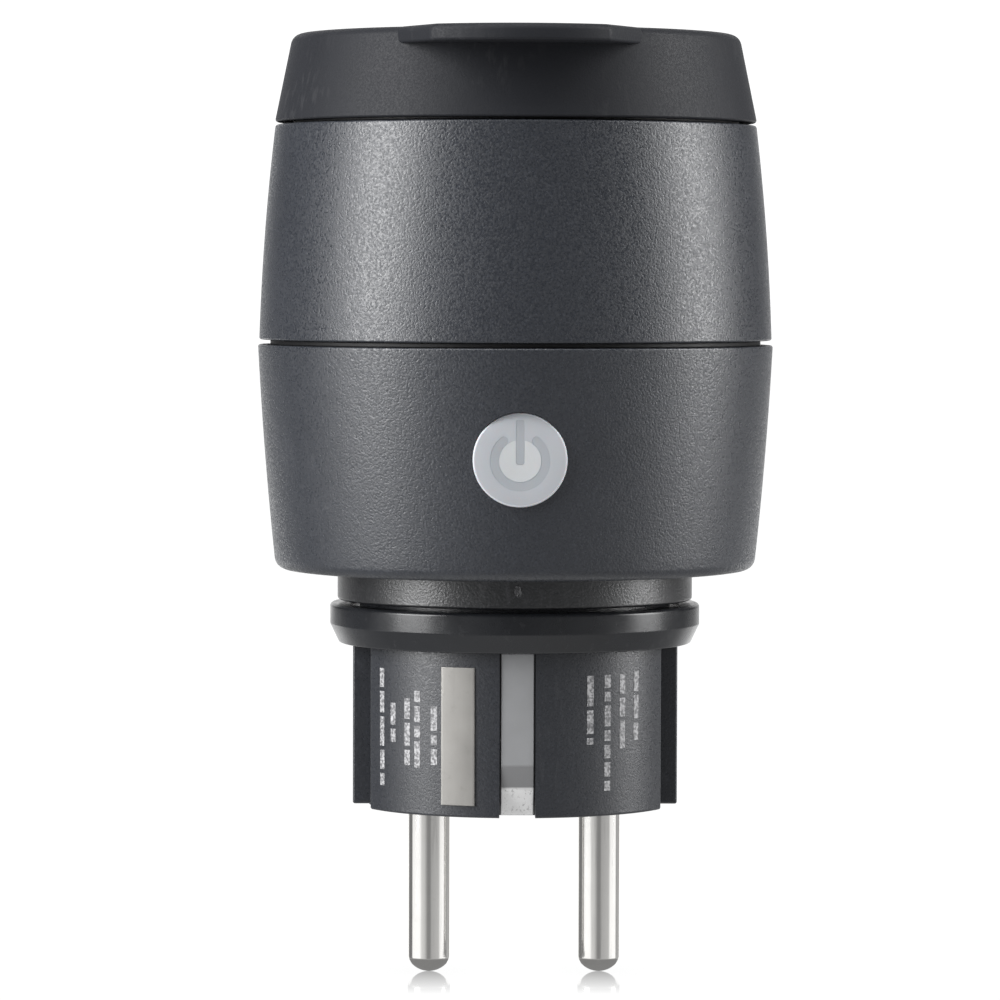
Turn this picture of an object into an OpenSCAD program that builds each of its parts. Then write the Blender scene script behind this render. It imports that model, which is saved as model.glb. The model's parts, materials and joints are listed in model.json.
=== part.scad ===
// Outdoor smart plug: an earthed mains plug with round pins below, an earthed
// socket under a sprung lid above, and a switched power supply between them.
// The origin is the centre of the face that the pins stand out of. +Z points
// from the pins to the lid, and the button and finger tab face -Y.

/* [Mains pins] */
// Distance between the two mains pins
pin_pitch = 19; // [18.8:0.1:19.2]
// Diameter of each mains pin
pin_d = 4.8; // [4.7:0.05:4.9]
// How far the pins stand out of the plug face
pin_len = 19; // [18:0.5:19.5]
// Radius of the dome at the tip of each pin
pin_dome_r = 2.65; // [2.45:0.05:2.8]

/* [Plug body] */
// Diameter of the two cheeks at the top
cheek_d = 36.2; // [35.8:0.1:36.4]
// How much narrower the cheeks are at the plug face
cheek_draft = 0.2; // [0:0.1:0.6]
// Width across the flat sides of the cheeks
cheek_w = 32; // [31.6:0.1:32.2]
// Height of the plug body below the sealing collar
plug_h = 18; // [17.6:0.1:18]
// Width across the guide rails on the two sides
rail_w = 36; // [35.6:0.1:36.2]
// Thickness of each guide rail
rail_t = 1.85; // [1.5:0.05:2]
// Width of the guide groove between a pair of rails
groove_w = 5.5; // [5.2:0.1:5.8]
// Width across the floors of the two guide grooves
groove_floor_w = 32.4; // [32.2:0.1:32.8]
// Diameter of the spigot that goes up through the collar and neck
spigot_d = 34.6; // [34:0.1:34.8]

/* [Earth contacts of the plug] */
// Width of the slot that each earth strip lies in
earth_slot_w = 3.9; // [3.7:0.1:4.2]
// Width of each earth strip
earth_w = 3.6; // [3.2:0.1:3.6]
// Distance from the plug axis to the outside of the earth strips
earth_reach = 17.8; // [17.6:0.1:17.9]
// Thickness of the earth strips
earth_t = 0.8; // [0.6:0.1:0.8]
// Distance of the earth pin socket from the plug axis
earth_socket_offset = 10; // [10]
// Bore of the earth pin socket
earth_socket_d = 5; // [4.9:0.05:5.1]

/* [Collar and neck] */
// Diameter of the rubber sealing collar
collar_d = 41.2; // [40.6:0.1:41.6]
// Height of the top of the sealing collar
collar_top = 22.4; // [22:0.1:22.5]
// Diameter of the neck
neck_d = 39.6; // [39:0.1:39.8]
// Height of the groove between collar and neck
neck_gap = 0.4; // [0.2:0.1:0.5]

/* [Housing] */
// Height of the underside of the lower housing
base_z = 26.2; // [26:0.1:26.4]
// Height of the top edge of the lower housing
seam_z = 51.15; // [50.8:0.05:51.3]
// Height of the seam between the two housings
seam_gap = 0.55; // [0.4:0.05:0.6]
// Height of the rim under the lid
rim_z = 75.5; // [75.4:0.05:75.6]
// Radius of the bulge of the lower housing along its height
lower_curve_r = 420; // [400:10:500]
// Widest diameter of that bulge, above the seam where it is cut off
lower_bulge_d = 58.37; // [58:0.01:58.6]
// Height of that widest diameter
lower_bulge_z = 72.15; // [71:0.05:73]
// Radius of the bulge of the upper housing along its height
upper_curve_r = 266; // [256:2:276]
// Widest diameter of that bulge, below the seam where it is cut off
upper_bulge_d = 57.28; // [57.2:0.01:57.4]
// Height of that widest diameter
upper_bulge_z = 43.72; // [43:0.02:45]
// Radius of the rounded bottom edge
base_round = 1.4; // [0.8:0.1:1.6]
// Thickness of the floor of the lower housing
floor_t = 2; // [2]

/* [Lid] */
// Gap between the rim and the closed lid
lid_gap = 0.3; // [0.3:0.05:0.35]
// Height of the top of the lid
lid_top = 85.56; // [85:0.02:86]
// Diameter of the lid at its lower edge
lid_d = 53.6; // [53.2:0.1:53.8]
// Diameter that the lid tapers to at its top
lid_top_d = 49.6; // [49:0.1:50]
// Radius of the rounded top edge of the lid
lid_round = 1.3; // [0.8:0.1:1.6]
// Thickness of the top of the lid
lid_t = 2.16; // [2:0.02:2.4]
// How far the finger tab reaches in front of the axis
tab_reach = 31.6; // [30.5:0.1:32]
// Thickness of the finger tab
tab_t = 1.86; // [1.5:0.02:2]
// Radius of the front edge of the finger tab, seen from above
tab_r = 17; // [16:0.5:19]

/* [Lid hinge] */
// Distance of the hinge axis behind the plug axis
hinge_y = 28.6; // [28.5:0.1:28.8]
// Height of the hinge axis
hinge_z = 75.65; // [75.6:0.05:75.7]
// Diameter of the hinge pin
hinge_pin_d = 2; // [1.8:0.1:2]
// Radial running clearance of the lid on the hinge pin
hinge_clearance = 0.06; // [0.02:0.01:0.1]
// Outer diameter of the hinge knuckles
knuckle_d = 5.2; // [5:0.1:5.2]

/* [Button] */
// Height of the centre of the power button
button_z = 39.3; // [39:0.1:39.6]
// Diameter of the power button
button_d = 10.1; // [9.6:0.1:10.4]
// Distance from the axis to the front of the button
button_reach = 27.9; // [27.8:0.05:28]
// Radial running clearance of the button in its hole
button_clearance = 0.08; // [0.05:0.01:0.1]

/* [Socket] */
// Diameter of the socket recess
recess_d = 39.5; // [39.2:0.1:39.8]
// Depth of the socket recess
recess_depth = 17.5; // [17.5]
// Diameter of the two holes in the recess floor
socket_hole_d = 5.5; // [5.3:0.1:5.6]
// Bore of the two sprung mains contacts
contact_d = 5.1; // [5:0.05:5.2]

/* [Hidden] */
$fn = 96;
eps = 0.01;

// Heights that follow from the housing
collar_bottom = plug_h;
neck_bottom = collar_top + neck_gap;
floor_top = base_z + floor_t;
spigot_top = floor_top + 0.1;
neck_plate_top = spigot_top + 2;
board_bottom = neck_plate_top + 2.7;
board_t = 1.6;
board_top = board_bottom + board_t;
upper_z = seam_z + seam_gap;
lid_z = rim_z + lid_gap;
socket_top = rim_z - 0.5;
recess_floor = socket_top - recess_depth;
socket_floor_t = 2.5;
socket_bottom = recess_floor - socket_floor_t;

// Inside of the housings
upper_inner_r = 26.2;
lip_inner_r = 25.35;
ledge_top = socket_top - 2.6;
ledge_bottom = ledge_top - 1.9;

// Four posts under the socket insert take the housing screws
post_ring_r = 22.5;
post_r = 2.3;
post_angles = [45, 135, 225, 315];
screw_r = 1.25;
screw_head_r = 2.3;
screw_head_h = 1.9;
screw_clearance = 0.2;
post_boss_r = 3.1;
post_boss_clearance = 0.2;
housing_screw_z = base_z + 0.4;
housing_screw_len = 15;

// Plug screws hold the spigot up against the neck
plug_screw_y = 15.2;
plug_screw_len = 9;
plug_screw_depth = 8;

// The pins are thinner where the plug body holds them, and thinner still above it
pin_shank_r = 2.2;
pin_shank_top = 24;
pin_tail_r = 1.4;

// Side view of an earth strip: a leg that bends inwards near the plug face
earth_inner = earth_reach - earth_t;
earth_bend_z = 5.6;
earth_knee_z = 3.1;
earth_knee_in = 0.3;
earth_ramp_run = 1.5;

// Earth path inside the plug body
yoke_top = plug_h - 0.8;
yoke_bottom = yoke_top - earth_t;
yoke_end = 12;
earth_socket_wall = 0.6;
earth_socket_bottom = 2;
earth_socket_depth = 12;
riser_w = 3;
riser_y = 4.2;
strap_bottom = socket_bottom - 1.6;
clip_y = 18.6;
clip_w = 4.4;
clip_top = 72;

// Lid seal and the rib that holds it
seal_outer_r = 24.8;
seal_inner_r = 22.55;
seal_bottom = lid_z - 0.5;
seal_top = lid_z + 1.6;
rib_outer_r = seal_inner_r - 0.05;
rib_inner_r = 21.3;
lid_wall = 1.5;

// Hinge knuckles: the lid's pair sits inside the housing's pair
lid_knuckle_x = [5, 8.7];
housing_knuckle_x = [9, 12.4];
hinge_pocket_r = knuckle_d / 2 + 0.4;
spring_wire_r = 0.25;
spring_r = 1.4;
spring_turns = 9;
spring_half_w = 4.3;
spring_fixed_leg = 2.45;
spring_lid_leg = 2.6;

// Power button and the switch behind it
button_flange_r = 6.2;
button_flange_y = -24.9;
button_flange_t = 0.8;
plunger_r = 1.75;
plunger_front = button_flange_y + button_flange_t;
switch_front = plunger_front + 0.8;
control_board_y = -20.9;
control_board_t = 1.2;

// Shared shapes

// The corner that is cut away to round an outer bottom corner at the origin
module corner_cut(r) {
    difference() {
        translate([-r, -1]) square([r + 1, r + 1]);
        translate([-r, r]) circle(r = r);
    }
}

// A solid of revolution whose wall follows a large arc, between two heights
module barrel(bottom, top, bulge_d, bulge_z, curve_r, bottom_round = 0) {
    bottom_r = bulge_d / 2 - curve_r + sqrt(pow(curve_r, 2) - pow(bulge_z - bottom, 2));
    rotate_extrude() difference() {
        intersection() {
            translate([bulge_d / 2 - curve_r, bulge_z]) circle(r = curve_r, $fn = 1440);
            translate([0, bottom]) square([bulge_d, top - bottom]);
        }
        if (bottom_round > 0) {
            translate([bottom_r, bottom]) corner_cut(bottom_round);
        }
    }
}

// A ring between two radii and two heights
module ring(inner_r, outer_r, bottom, top) {
    rotate_extrude() translate([inner_r, bottom]) square([outer_r - inner_r, top - bottom]);
}

// A block that stands centred on the origin, at a given height
module block(size, z = 0) {
    translate([-size[0] / 2, -size[1] / 2, z]) cube(size);
}

// Repeats its children at the four posts
module at_posts() {
    for (a = post_angles) {
        rotate([0, 0, a]) translate([post_ring_r, 0, 0]) children();
    }
}

// A box given by the lowest and highest corner
module box(low, high) {
    translate(low) cube(high - low);
}

// A shape drawn in the Y and Z directions, extruded between two X positions
module across(x0, x1) {
    translate([x0, 0, 0]) rotate([90, 0, 90]) linear_extrude(x1 - x0) children();
}

// A cylinder along Y
module rod_y(r, y0, y1) {
    translate([0, y0, 0]) rotate([-90, 0, 0]) cylinder(r = r, h = y1 - y0);
}

// A screw with its head at the bottom, pointing up
module screw(length) {
    cylinder(r = screw_head_r, h = screw_head_h);
    cylinder(r = screw_r, h = length);
}

// Plug

module pin_shape(side) {
    dome_z = pin_dome_r - pin_len;
    tail_top = board_top + 0.8;
    translate([side * pin_pitch / 2, 0, 0]) {
        rotate_extrude() intersection() {
            translate([0, -pin_len]) square([pin_d / 2, pin_len]);
            union() {
                translate([0, dome_z]) circle(r = pin_dome_r);
                translate([0, dome_z]) square([pin_d, pin_len]);
            }
        }
        translate([0, 0, -eps]) cylinder(r = pin_shank_r, h = pin_shank_top + eps);
        translate([0, 0, pin_shank_top]) cylinder(r = pin_tail_r, h = tail_top - pin_shank_top);
    }
}

module line_pin() {
    color("silver") pin_shape(-1);
}

module neutral_pin() {
    color("silver") pin_shape(1);
}

// Side view of the front earth strip: a leg down the cheek that ends in a ramp
module earth_strip_side() {
    knee_rise = 0.35;
    tip_z = 0.1;
    tip_rise = 0.5;
    tip_in = 0.2;
    leg_top = plug_h - 0.05;
    polygon([
        [-earth_reach, leg_top],
        [-earth_reach, earth_bend_z],
        [-earth_reach + earth_knee_in, earth_knee_z],
        [-earth_reach + earth_knee_in + earth_ramp_run, tip_z],
        [-earth_inner + tip_in + earth_ramp_run, tip_z + tip_rise],
        [-earth_inner + earth_knee_in, earth_knee_z + knee_rise],
        [-earth_inner, earth_bend_z],
        [-earth_inner, yoke_bottom],
        [-yoke_end, yoke_bottom],
        [-yoke_end, yoke_top],
        [-earth_inner, yoke_top],
        [-earth_inner, leg_top],
    ]);
}

// The space cut into the plug body for one earth strip
module earth_strip_slot() {
    foot_in = earth_ramp_run + 1.7;
    knee_room = 0.6;
    across(-earth_slot_w / 2, earth_slot_w / 2) {
        polygon([
            [-cheek_d, -1],
            [-earth_inner + foot_in, -1],
            [-earth_inner + earth_knee_in, earth_knee_z + knee_room],
            [-earth_inner, earth_bend_z],
            [-earth_inner, plug_h + eps],
            [-cheek_d, plug_h + eps],
        ]);
    }
    across(-earth_w / 2, earth_w / 2) {
        translate([-earth_reach, yoke_bottom]) square([earth_reach - yoke_end, earth_t]);
    }
}

module earth_strip_front() {
    color("silver") across(-earth_w / 2, earth_w / 2) earth_strip_side();
}

module earth_strip_rear() {
    color("silver") mirror([0, 1, 0]) across(-earth_w / 2, earth_w / 2) earth_strip_side();
}

module earth_yoke() {
    color("silver") box([-earth_w / 2, -yoke_end, yoke_bottom], [earth_w / 2, yoke_end, yoke_top]);
}

module earth_pin_socket() {
    outer_r = earth_socket_d / 2 + earth_socket_wall;
    color("silver") translate([0, -earth_socket_offset, 0]) difference() {
        translate([0, 0, earth_socket_bottom]) cylinder(r = outer_r, h = yoke_bottom - earth_socket_bottom);
        translate([0, 0, earth_socket_bottom - 1]) cylinder(d = earth_socket_d, h = earth_socket_depth + 1);
    }
}

module earth_riser() {
    color("silver") box([-riser_w / 2, riser_y, yoke_top], [riser_w / 2, riser_y + earth_t, strap_bottom]);
}

module cheeks() {
    edge = 0.25;
    intersection() {
        union() {
            cylinder(d1 = cheek_d - cheek_draft - 2 * edge, d2 = cheek_d - cheek_draft, h = edge);
            translate([0, 0, edge]) cylinder(d1 = cheek_d - cheek_draft, d2 = cheek_d, h = plug_h - edge);
        }
        box([-cheek_w / 2, -cheek_d, 0], [cheek_w / 2, cheek_d, plug_h]);
    }
}

module guide_rails() {
    rail_y = groove_w / 2;
    rail_bottom = 0.25;
    for (side = [-1, 1]) {
        translate([0, side * (rail_y + rail_t / 2), (plug_h + rail_bottom) / 2]) {
            cube([rail_w, rail_t, plug_h - rail_bottom], center = true);
        }
    }
    translate([0, 0, plug_h / 2]) cube([groove_floor_w, groove_w + eps, plug_h], center = true);
}

module plug_body() {
    socket_outer_r = earth_socket_d / 2 + earth_socket_wall;
    color("#2b2c2e") difference() {
        union() {
            cheeks();
            guide_rails();
            translate([0, 0, plug_h - eps]) cylinder(d = spigot_d, h = spigot_top - plug_h + eps);
        }
        earth_strip_slot();
        mirror([0, 1, 0]) earth_strip_slot();
        for (side = [-1, 1]) {
            translate([side * pin_pitch / 2, 0, -1]) cylinder(r = pin_shank_r, h = pin_shank_top + 1);
            translate([side * pin_pitch / 2, 0, 0]) cylinder(r = pin_tail_r, h = spigot_top + 1);
            translate([0, side * plug_screw_y, spigot_top - plug_screw_depth]) {
                cylinder(r = screw_r, h = plug_screw_depth + 1);
            }
        }
        translate([0, -earth_socket_offset, -1]) cylinder(r = socket_outer_r, h = yoke_bottom + 1);
        box([-earth_w / 2, -yoke_end - eps, yoke_bottom], [earth_w / 2, yoke_end + eps, yoke_top]);
        box([-riser_w / 2, riser_y, yoke_top - eps], [riser_w / 2, riser_y + earth_t, spigot_top + 1]);
        nameplate_shape(1);
    }
}

// The nameplate's bent shape; a thicker one cuts the seat that it lies in
module nameplate_shape(thickness) {
    plate_from = 242.9;
    plate_sweep = 12.3;
    plate_z = 1.3;
    plate_h = 15.05;
    seat_depth = 0.2;
    rotate([0, 0, plate_from]) rotate_extrude(angle = plate_sweep) {
        translate([cheek_d / 2 - seat_depth, plate_z]) square([thickness, plate_h]);
    }
}

// Blank rating plate on the left of the front cheek
module nameplate() {
    plate_t = 0.35;
    color("#b9b4ab") nameplate_shape(plate_t);
}

module sealing_collar() {
    lower_r = 19.6;
    chamfer_top = 20.1;
    soft = 0.25;
    color("#17181a") rotate_extrude() polygon([
        [spigot_d / 2, collar_bottom],
        [lower_r - soft, collar_bottom],
        [lower_r, collar_bottom + soft],
        [collar_d / 2, chamfer_top],
        [collar_d / 2, collar_top - soft],
        [collar_d / 2 - soft, collar_top],
        [spigot_d / 2, collar_top],
    ]);
}

module neck() {
    plate_inner_r = 13;
    plate_outer_r = 23.6;
    standoff_y = 19.5;
    standoff_r = 1.6;
    color("#232427") {
        difference() {
            union() {
                ring(spigot_d / 2, neck_d / 2, neck_bottom, spigot_top);
                ring(plate_inner_r, plate_outer_r, spigot_top, neck_plate_top);
            }
            at_posts() translate([0, 0, floor_top]) {
                cylinder(r = post_boss_r + post_boss_clearance, h = board_bottom - floor_top);
            }
            for (side = [-1, 1]) {
                translate([0, side * plug_screw_y, spigot_top - 1]) {
                    cylinder(r = screw_r + screw_clearance, h = board_bottom - spigot_top);
                }
            }
        }
        for (a = [0, 90, 180, 270]) {
            rotate([0, 0, a]) translate([standoff_y, 0, neck_plate_top - eps]) {
                cylinder(r = standoff_r, h = board_bottom - neck_plate_top + eps);
            }
        }
    }
}

module plug_screws() {
    color("silver") for (side = [-1, 1]) {
        translate([0, side * plug_screw_y, neck_plate_top + screw_head_h]) {
            rotate([180, 0, 0]) screw(plug_screw_len);
        }
    }
}

// Housings

module lower_cavity() {
    floor_r = 24.9;
    middle_r = 25.9;
    middle_z = 38;
    top_r = 26.3;
    rotate_extrude() polygon([
        [0, floor_top],
        [floor_r, floor_top],
        [middle_r, middle_z],
        [top_r, seam_z + 1],
        [0, seam_z + 1],
    ]);
}

module lower_housing() {
    head_sink = 1.4;
    head_clearance = 0.15;
    button_hole_r = button_d / 2 + button_clearance;
    color("#3a3b3f") difference() {
        union() {
            difference() {
                barrel(base_z, seam_z, lower_bulge_d, lower_bulge_z, lower_curve_r, base_round);
                lower_cavity();
            }
            at_posts() translate([0, 0, floor_top - eps]) {
                cylinder(r = post_boss_r, h = board_bottom - floor_top + eps);
            }
        }
        translate([0, 0, base_z - 1]) cylinder(d = neck_d, h = floor_t + 1.1);
        translate([0, 0, button_z]) rod_y(button_hole_r, -lower_bulge_d / 2 - 1, button_flange_y);
        at_posts() {
            translate([0, 0, base_z - 1]) {
                cylinder(r = screw_head_r + head_clearance, h = head_sink + screw_head_h);
            }
            translate([0, 0, base_z]) cylinder(r = screw_r + screw_clearance, h = board_bottom - base_z + 1);
        }
    }
}

module housing_screws() {
    color("silver") at_posts() translate([0, 0, housing_screw_z]) screw(housing_screw_len);
}

// The black ring that shows in the seam and centres one housing on the other
module seam_ring() {
    tongue_inner_r = 25;
    tongue_outer_r = upper_inner_r;
    tongue_h = 1.6;
    ring_outer_r = 27.285;
    color("#141517") {
        ring(tongue_inner_r, tongue_outer_r, seam_z - tongue_h, upper_z + tongue_h);
        ring(tongue_outer_r - eps, ring_outer_r, seam_z, upper_z);
    }
}

// Side view of one housing knuckle, with the web that carries it
module housing_knuckle_side() {
    reach = hinge_y + knuckle_d / 2;
    inside_y = 22;
    foot_z = hinge_z - 12;
    foot_y = hinge_y - 1.8;
    shoulder_z = hinge_z - 4;
    step_y = hinge_y - 2.5;
    step_z = rim_z - 0.3;
    translate([hinge_y, hinge_z]) circle(d = knuckle_d);
    polygon([
        [inside_y, foot_z],
        [foot_y, foot_z],
        [reach, shoulder_z],
        [reach, hinge_z],
        [step_y, hinge_z],
        [step_y, step_z],
        [inside_y, step_z],
    ]);
}

module hinge_bore(r, half_length) {
    across(-half_length, half_length) translate([hinge_y, hinge_z]) circle(r = r);
}

module upper_cavity() {
    ledge_inner_r = 21.8;
    post_clearance = 0.2;
    ring(0, upper_inner_r, upper_z - 1, ledge_bottom);
    ring(0, ledge_inner_r, ledge_bottom - eps, ledge_top + eps);
    ring(0, lip_inner_r, ledge_top, rim_z + knuckle_d);
    at_posts() translate([0, 0, ledge_bottom - 1]) {
        cylinder(r = post_r + post_clearance, h = ledge_top - ledge_bottom + 2);
    }
}

module upper_housing() {
    color("#3a3b3f") difference() {
        union() {
            barrel(upper_z, rim_z, upper_bulge_d, upper_bulge_z, upper_curve_r);
            for (side = [-1, 1]) {
                x0 = side > 0 ? housing_knuckle_x[0] : -housing_knuckle_x[1];
                across(x0, x0 + housing_knuckle_x[1] - housing_knuckle_x[0]) housing_knuckle_side();
            }
        }
        upper_cavity();
        hinge_bore(hinge_pocket_r, housing_knuckle_x[0]);
        hinge_bore(hinge_pin_d / 2, 20);
    }
}

module hinge_pin() {
    color("silver") across(-housing_knuckle_x[1], housing_knuckle_x[1]) {
        translate([hinge_y, hinge_z]) circle(d = hinge_pin_d);
    }
}

// Socket

module socket_insert() {
    cup_r = 21.5;
    flange_r = lip_inner_r - 0.1;
    guide_reach = 17;
    guide_w = 4.6;
    guide_h = 16.4;
    guide_in_wall = 0.3;
    guide_l = recess_d / 2 - guide_reach + 2 * guide_in_wall;
    sleeve_r = 4.3;
    sleeve_bottom = socket_bottom - 4;
    sleeve_bore_r = contact_d / 2 + 0.7;
    clip_slot = [clip_w + 0.2, earth_t + 0.1, 8];
    screw_hole_depth = 11;
    color("#1d1e20") difference() {
        union() {
            difference() {
                union() {
                    translate([0, 0, socket_bottom]) cylinder(r = cup_r, h = socket_top - socket_bottom);
                    translate([0, 0, ledge_top]) cylinder(r = flange_r, h = socket_top - ledge_top);
                    at_posts() translate([0, 0, board_bottom]) {
                        cylinder(r = post_r, h = ledge_top - board_bottom);
                    }
                }
                translate([0, 0, recess_floor]) cylinder(d = recess_d, h = recess_depth + 1);
            }
            for (side = [-1, 1]) {
                translate([side * (guide_reach + recess_d / 2) / 2, 0, 0]) {
                    block([guide_l, guide_w, guide_h], recess_floor - 0.2);
                }
                translate([side * pin_pitch / 2, 0, sleeve_bottom]) {
                    cylinder(r = sleeve_r, h = socket_bottom - sleeve_bottom + eps);
                }
            }
        }
        for (side = [-1, 1]) {
            translate([side * pin_pitch / 2, 0, sleeve_bottom - 1]) {
                cylinder(d = socket_hole_d, h = recess_floor - sleeve_bottom + 2);
            }
            translate([side * pin_pitch / 2, 0, sleeve_bottom - 1]) {
                cylinder(r = sleeve_bore_r, h = socket_bottom - sleeve_bottom + 1);
            }
            translate([0, side * (clip_y + earth_t / 2), 0]) block(clip_slot, recess_floor - 5);
        }
        at_posts() translate([0, 0, board_bottom - 1]) cylinder(r = screw_r, h = screw_hole_depth + 1);
    }
}

// A split sleeve that grips a mains pin, with a tail down to the power board
module contact_shape(side) {
    wall = 0.6;
    sleeve_bottom = 40;
    slit = 1;
    slit_rise = 3;
    tail_half_w = 1.5;
    tail_y = 1.9;
    color("#c9a24a") translate([side * pin_pitch / 2, 0, 0]) {
        difference() {
            translate([0, 0, sleeve_bottom]) {
                cylinder(r = contact_d / 2 + wall, h = socket_bottom - sleeve_bottom);
            }
            translate([0, 0, sleeve_bottom + 1]) cylinder(d = contact_d, h = socket_bottom - sleeve_bottom);
            box([-slit / 2, -contact_d, sleeve_bottom + slit_rise], [slit / 2, contact_d, socket_bottom + 1]);
        }
        box([-tail_half_w, tail_y, board_top], [tail_half_w, tail_y + wall, sleeve_bottom + eps]);
    }
}

module line_contact() {
    contact_shape(-1);
}

module neutral_contact() {
    contact_shape(1);
}

// Side view of the rear earth clip of the socket, which bows inwards to meet a plug
module earth_clip_side() {
    bow = 0.9;
    bow_z = 65;
    straight_top = clip_top - 11;
    outer = clip_y + earth_t;
    polygon([
        [outer, strap_bottom],
        [outer, straight_top],
        [outer - bow, bow_z],
        [outer, clip_top],
        [clip_y, clip_top],
        [clip_y - bow, bow_z],
        [clip_y, straight_top],
        [clip_y, strap_bottom],
    ]);
}

module earth_clip_rear() {
    color("silver") across(-clip_w / 2, clip_w / 2) earth_clip_side();
}

module earth_clip_front() {
    color("silver") mirror([0, 1, 0]) across(-clip_w / 2, clip_w / 2) earth_clip_side();
}

module earth_strap() {
    half_w = 1.5;
    color("silver") box([-half_w, -clip_y, strap_bottom], [half_w, clip_y, strap_bottom + earth_t]);
}

// Electronics

module power_board() {
    board_r = 24.2;
    pin_hole_r = 1.5;
    riser_clearance = 0.3;
    notch_half_w = button_flange_r + 1;
    notch_y = plunger_front + 1.3;
    cut_h = board_t + 2;
    color("#2f6b46") translate([0, 0, board_bottom]) difference() {
        cylinder(r = board_r, h = board_t);
        at_posts() translate([0, 0, -1]) cylinder(r = post_boss_r + post_boss_clearance, h = cut_h);
        for (side = [-1, 1]) {
            translate([side * pin_pitch / 2, 0, -1]) cylinder(r = pin_hole_r, h = cut_h);
        }
        translate([0, riser_y + earth_t / 2, 0]) {
            block([riser_w + 2 * riser_clearance, earth_t + 2 * riser_clearance, cut_h], -1);
        }
        box([-notch_half_w, -board_r - 1, -1], [notch_half_w, notch_y, cut_h]);
    }
}

module relay() {
    case_size = [19, 13, 15.2];
    centre_y = 13.5;
    foot_h = 0.4;
    leg_r = 0.6;
    leg_x = 7.5;
    leg_y = 4.5;
    color("#22304f") translate([0, centre_y, board_top]) {
        block(case_size, foot_h);
        for (x = [-leg_x, leg_x], y = [-leg_y, leg_y]) {
            translate([x, y, 0]) cylinder(r = leg_r, h = foot_h + 0.1);
        }
    }
}

module transformer() {
    centre = [-18, -1];
    base_size = [8, 9, 2];
    top_size = [8, 6, 2];
    winding_r = 3;
    winding_h = 5;
    color("#d8c24a") translate([centre[0], centre[1], board_top]) {
        block(base_size);
        translate([0, 0, base_size[2]]) cylinder(r = winding_r, h = winding_h);
        block(top_size, base_size[2] + winding_h);
    }
}

module film_capacitor() {
    size = [11, 6.5, 9];
    centre_y = -10.25;
    color("#c8a020") translate([0, centre_y, board_top]) block(size);
}

module bulk_capacitor() {
    centre = [18, -3];
    can_r = 4;
    crimp_r = 3.7;
    crimp_from = 1;
    crimp_to = 1.8;
    can_h = 10.8;
    color("#1c1c22") translate([centre[0], centre[1], board_top]) {
        cylinder(r = can_r, h = crimp_from);
        translate([0, 0, crimp_from]) cylinder(r = crimp_r, h = crimp_to - crimp_from);
        translate([0, 0, crimp_to]) cylinder(r = can_r, h = can_h - crimp_to);
    }
}

module varistor() {
    centre = [-11, -10];
    disc_r = 3.5;
    disc_t = 3;
    disc_z = 5.5;
    leg_r = 0.4;
    leg_gap = 1.5;
    leg_h = 4;
    color("#2a62a8") translate([centre[0], centre[1], board_top]) {
        translate([-disc_t / 2, 0, disc_z]) rotate([0, 90, 0]) cylinder(r = disc_r, h = disc_t);
        for (y = [-leg_gap, leg_gap]) {
            translate([0, y, 0]) cylinder(r = leg_r, h = leg_h);
        }
    }
}

module fuse() {
    centre = [10.5, -10];
    tube_r = 1.6;
    tube_l = 7;
    tube_z = 2;
    leg_r = 0.4;
    leg_gap = 3;
    color("#8a5a3a") translate([centre[0], centre[1], board_top]) {
        translate([0, 0, tube_z]) rotate([90, 0, 0]) cylinder(r = tube_r, h = tube_l, center = true);
        for (y = [-leg_gap, leg_gap]) {
            translate([0, y, 0]) cylinder(r = leg_r, h = tube_z);
        }
    }
}

module control_board() {
    half_w = 10.5;
    rise = 1.4;
    top = 50;
    rear = control_board_y + control_board_t;
    color("#2f6b46") box([-half_w, control_board_y, board_top + rise], [half_w, rear, top]);
}

module board_header() {
    half_w = 6;
    size = 2.5;
    rear = control_board_y + control_board_t;
    color("#1c1c22") box([-half_w, rear, board_top], [half_w, rear + size, board_top + size]);
}

module wifi_module() {
    carrier_half_w = 7;
    carrier_bottom = 38;
    carrier_top = 49.5;
    carrier_t = 0.8;
    shield_half_w = 6;
    shield_bottom = 38.5;
    shield_top = 46;
    shield_t = 2;
    front = control_board_y + control_board_t;
    rear = front + carrier_t;
    color("silver") {
        box([-carrier_half_w, front, carrier_bottom], [carrier_half_w, rear, carrier_top]);
        box([-shield_half_w, rear, shield_bottom], [shield_half_w, rear + shield_t, shield_top]);
    }
}

module status_leds() {
    led_size = [1.6, 0.9, 1.2];
    led_x = 4.4;
    color("white") for (x = [-led_x, led_x]) {
        translate([x, control_board_y - led_size[1] / 2, 0]) block(led_size, button_z - led_size[2] / 2);
    }
}

// Button and switch

module switch_body() {
    half_w = 3;
    bore_depth = 1.3;
    bore_clearance = 0.07;
    color("#1c1c22") difference() {
        box([-half_w, switch_front, button_z - half_w], [half_w, control_board_y, button_z + half_w]);
        translate([0, 0, button_z]) {
            rod_y(plunger_r + bore_clearance, switch_front - 1, switch_front + bore_depth);
        }
    }
}

module switch_plunger() {
    in_bore = 0.4;
    color("#c9c9c9") translate([0, 0, button_z]) rod_y(plunger_r, plunger_front, switch_front + in_bore);
}

module power_button() {
    color("#a9acb0") translate([0, 0, button_z]) {
        rod_y(button_d / 2, -button_reach, button_flange_y + eps);
        rod_y(button_flange_r, button_flange_y, button_flange_y + button_flange_t);
    }
}

// Lid

module lid_outer() {
    top_corner_r = lid_top_d / 2;
    rotate_extrude() difference() {
        polygon([
            [0, lid_z],
            [lid_d / 2, lid_z],
            [top_corner_r, lid_top],
            [0, lid_top],
        ]);
        translate([top_corner_r, lid_top]) mirror([0, 1, 0]) corner_cut(lid_round);
    }
}

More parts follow.
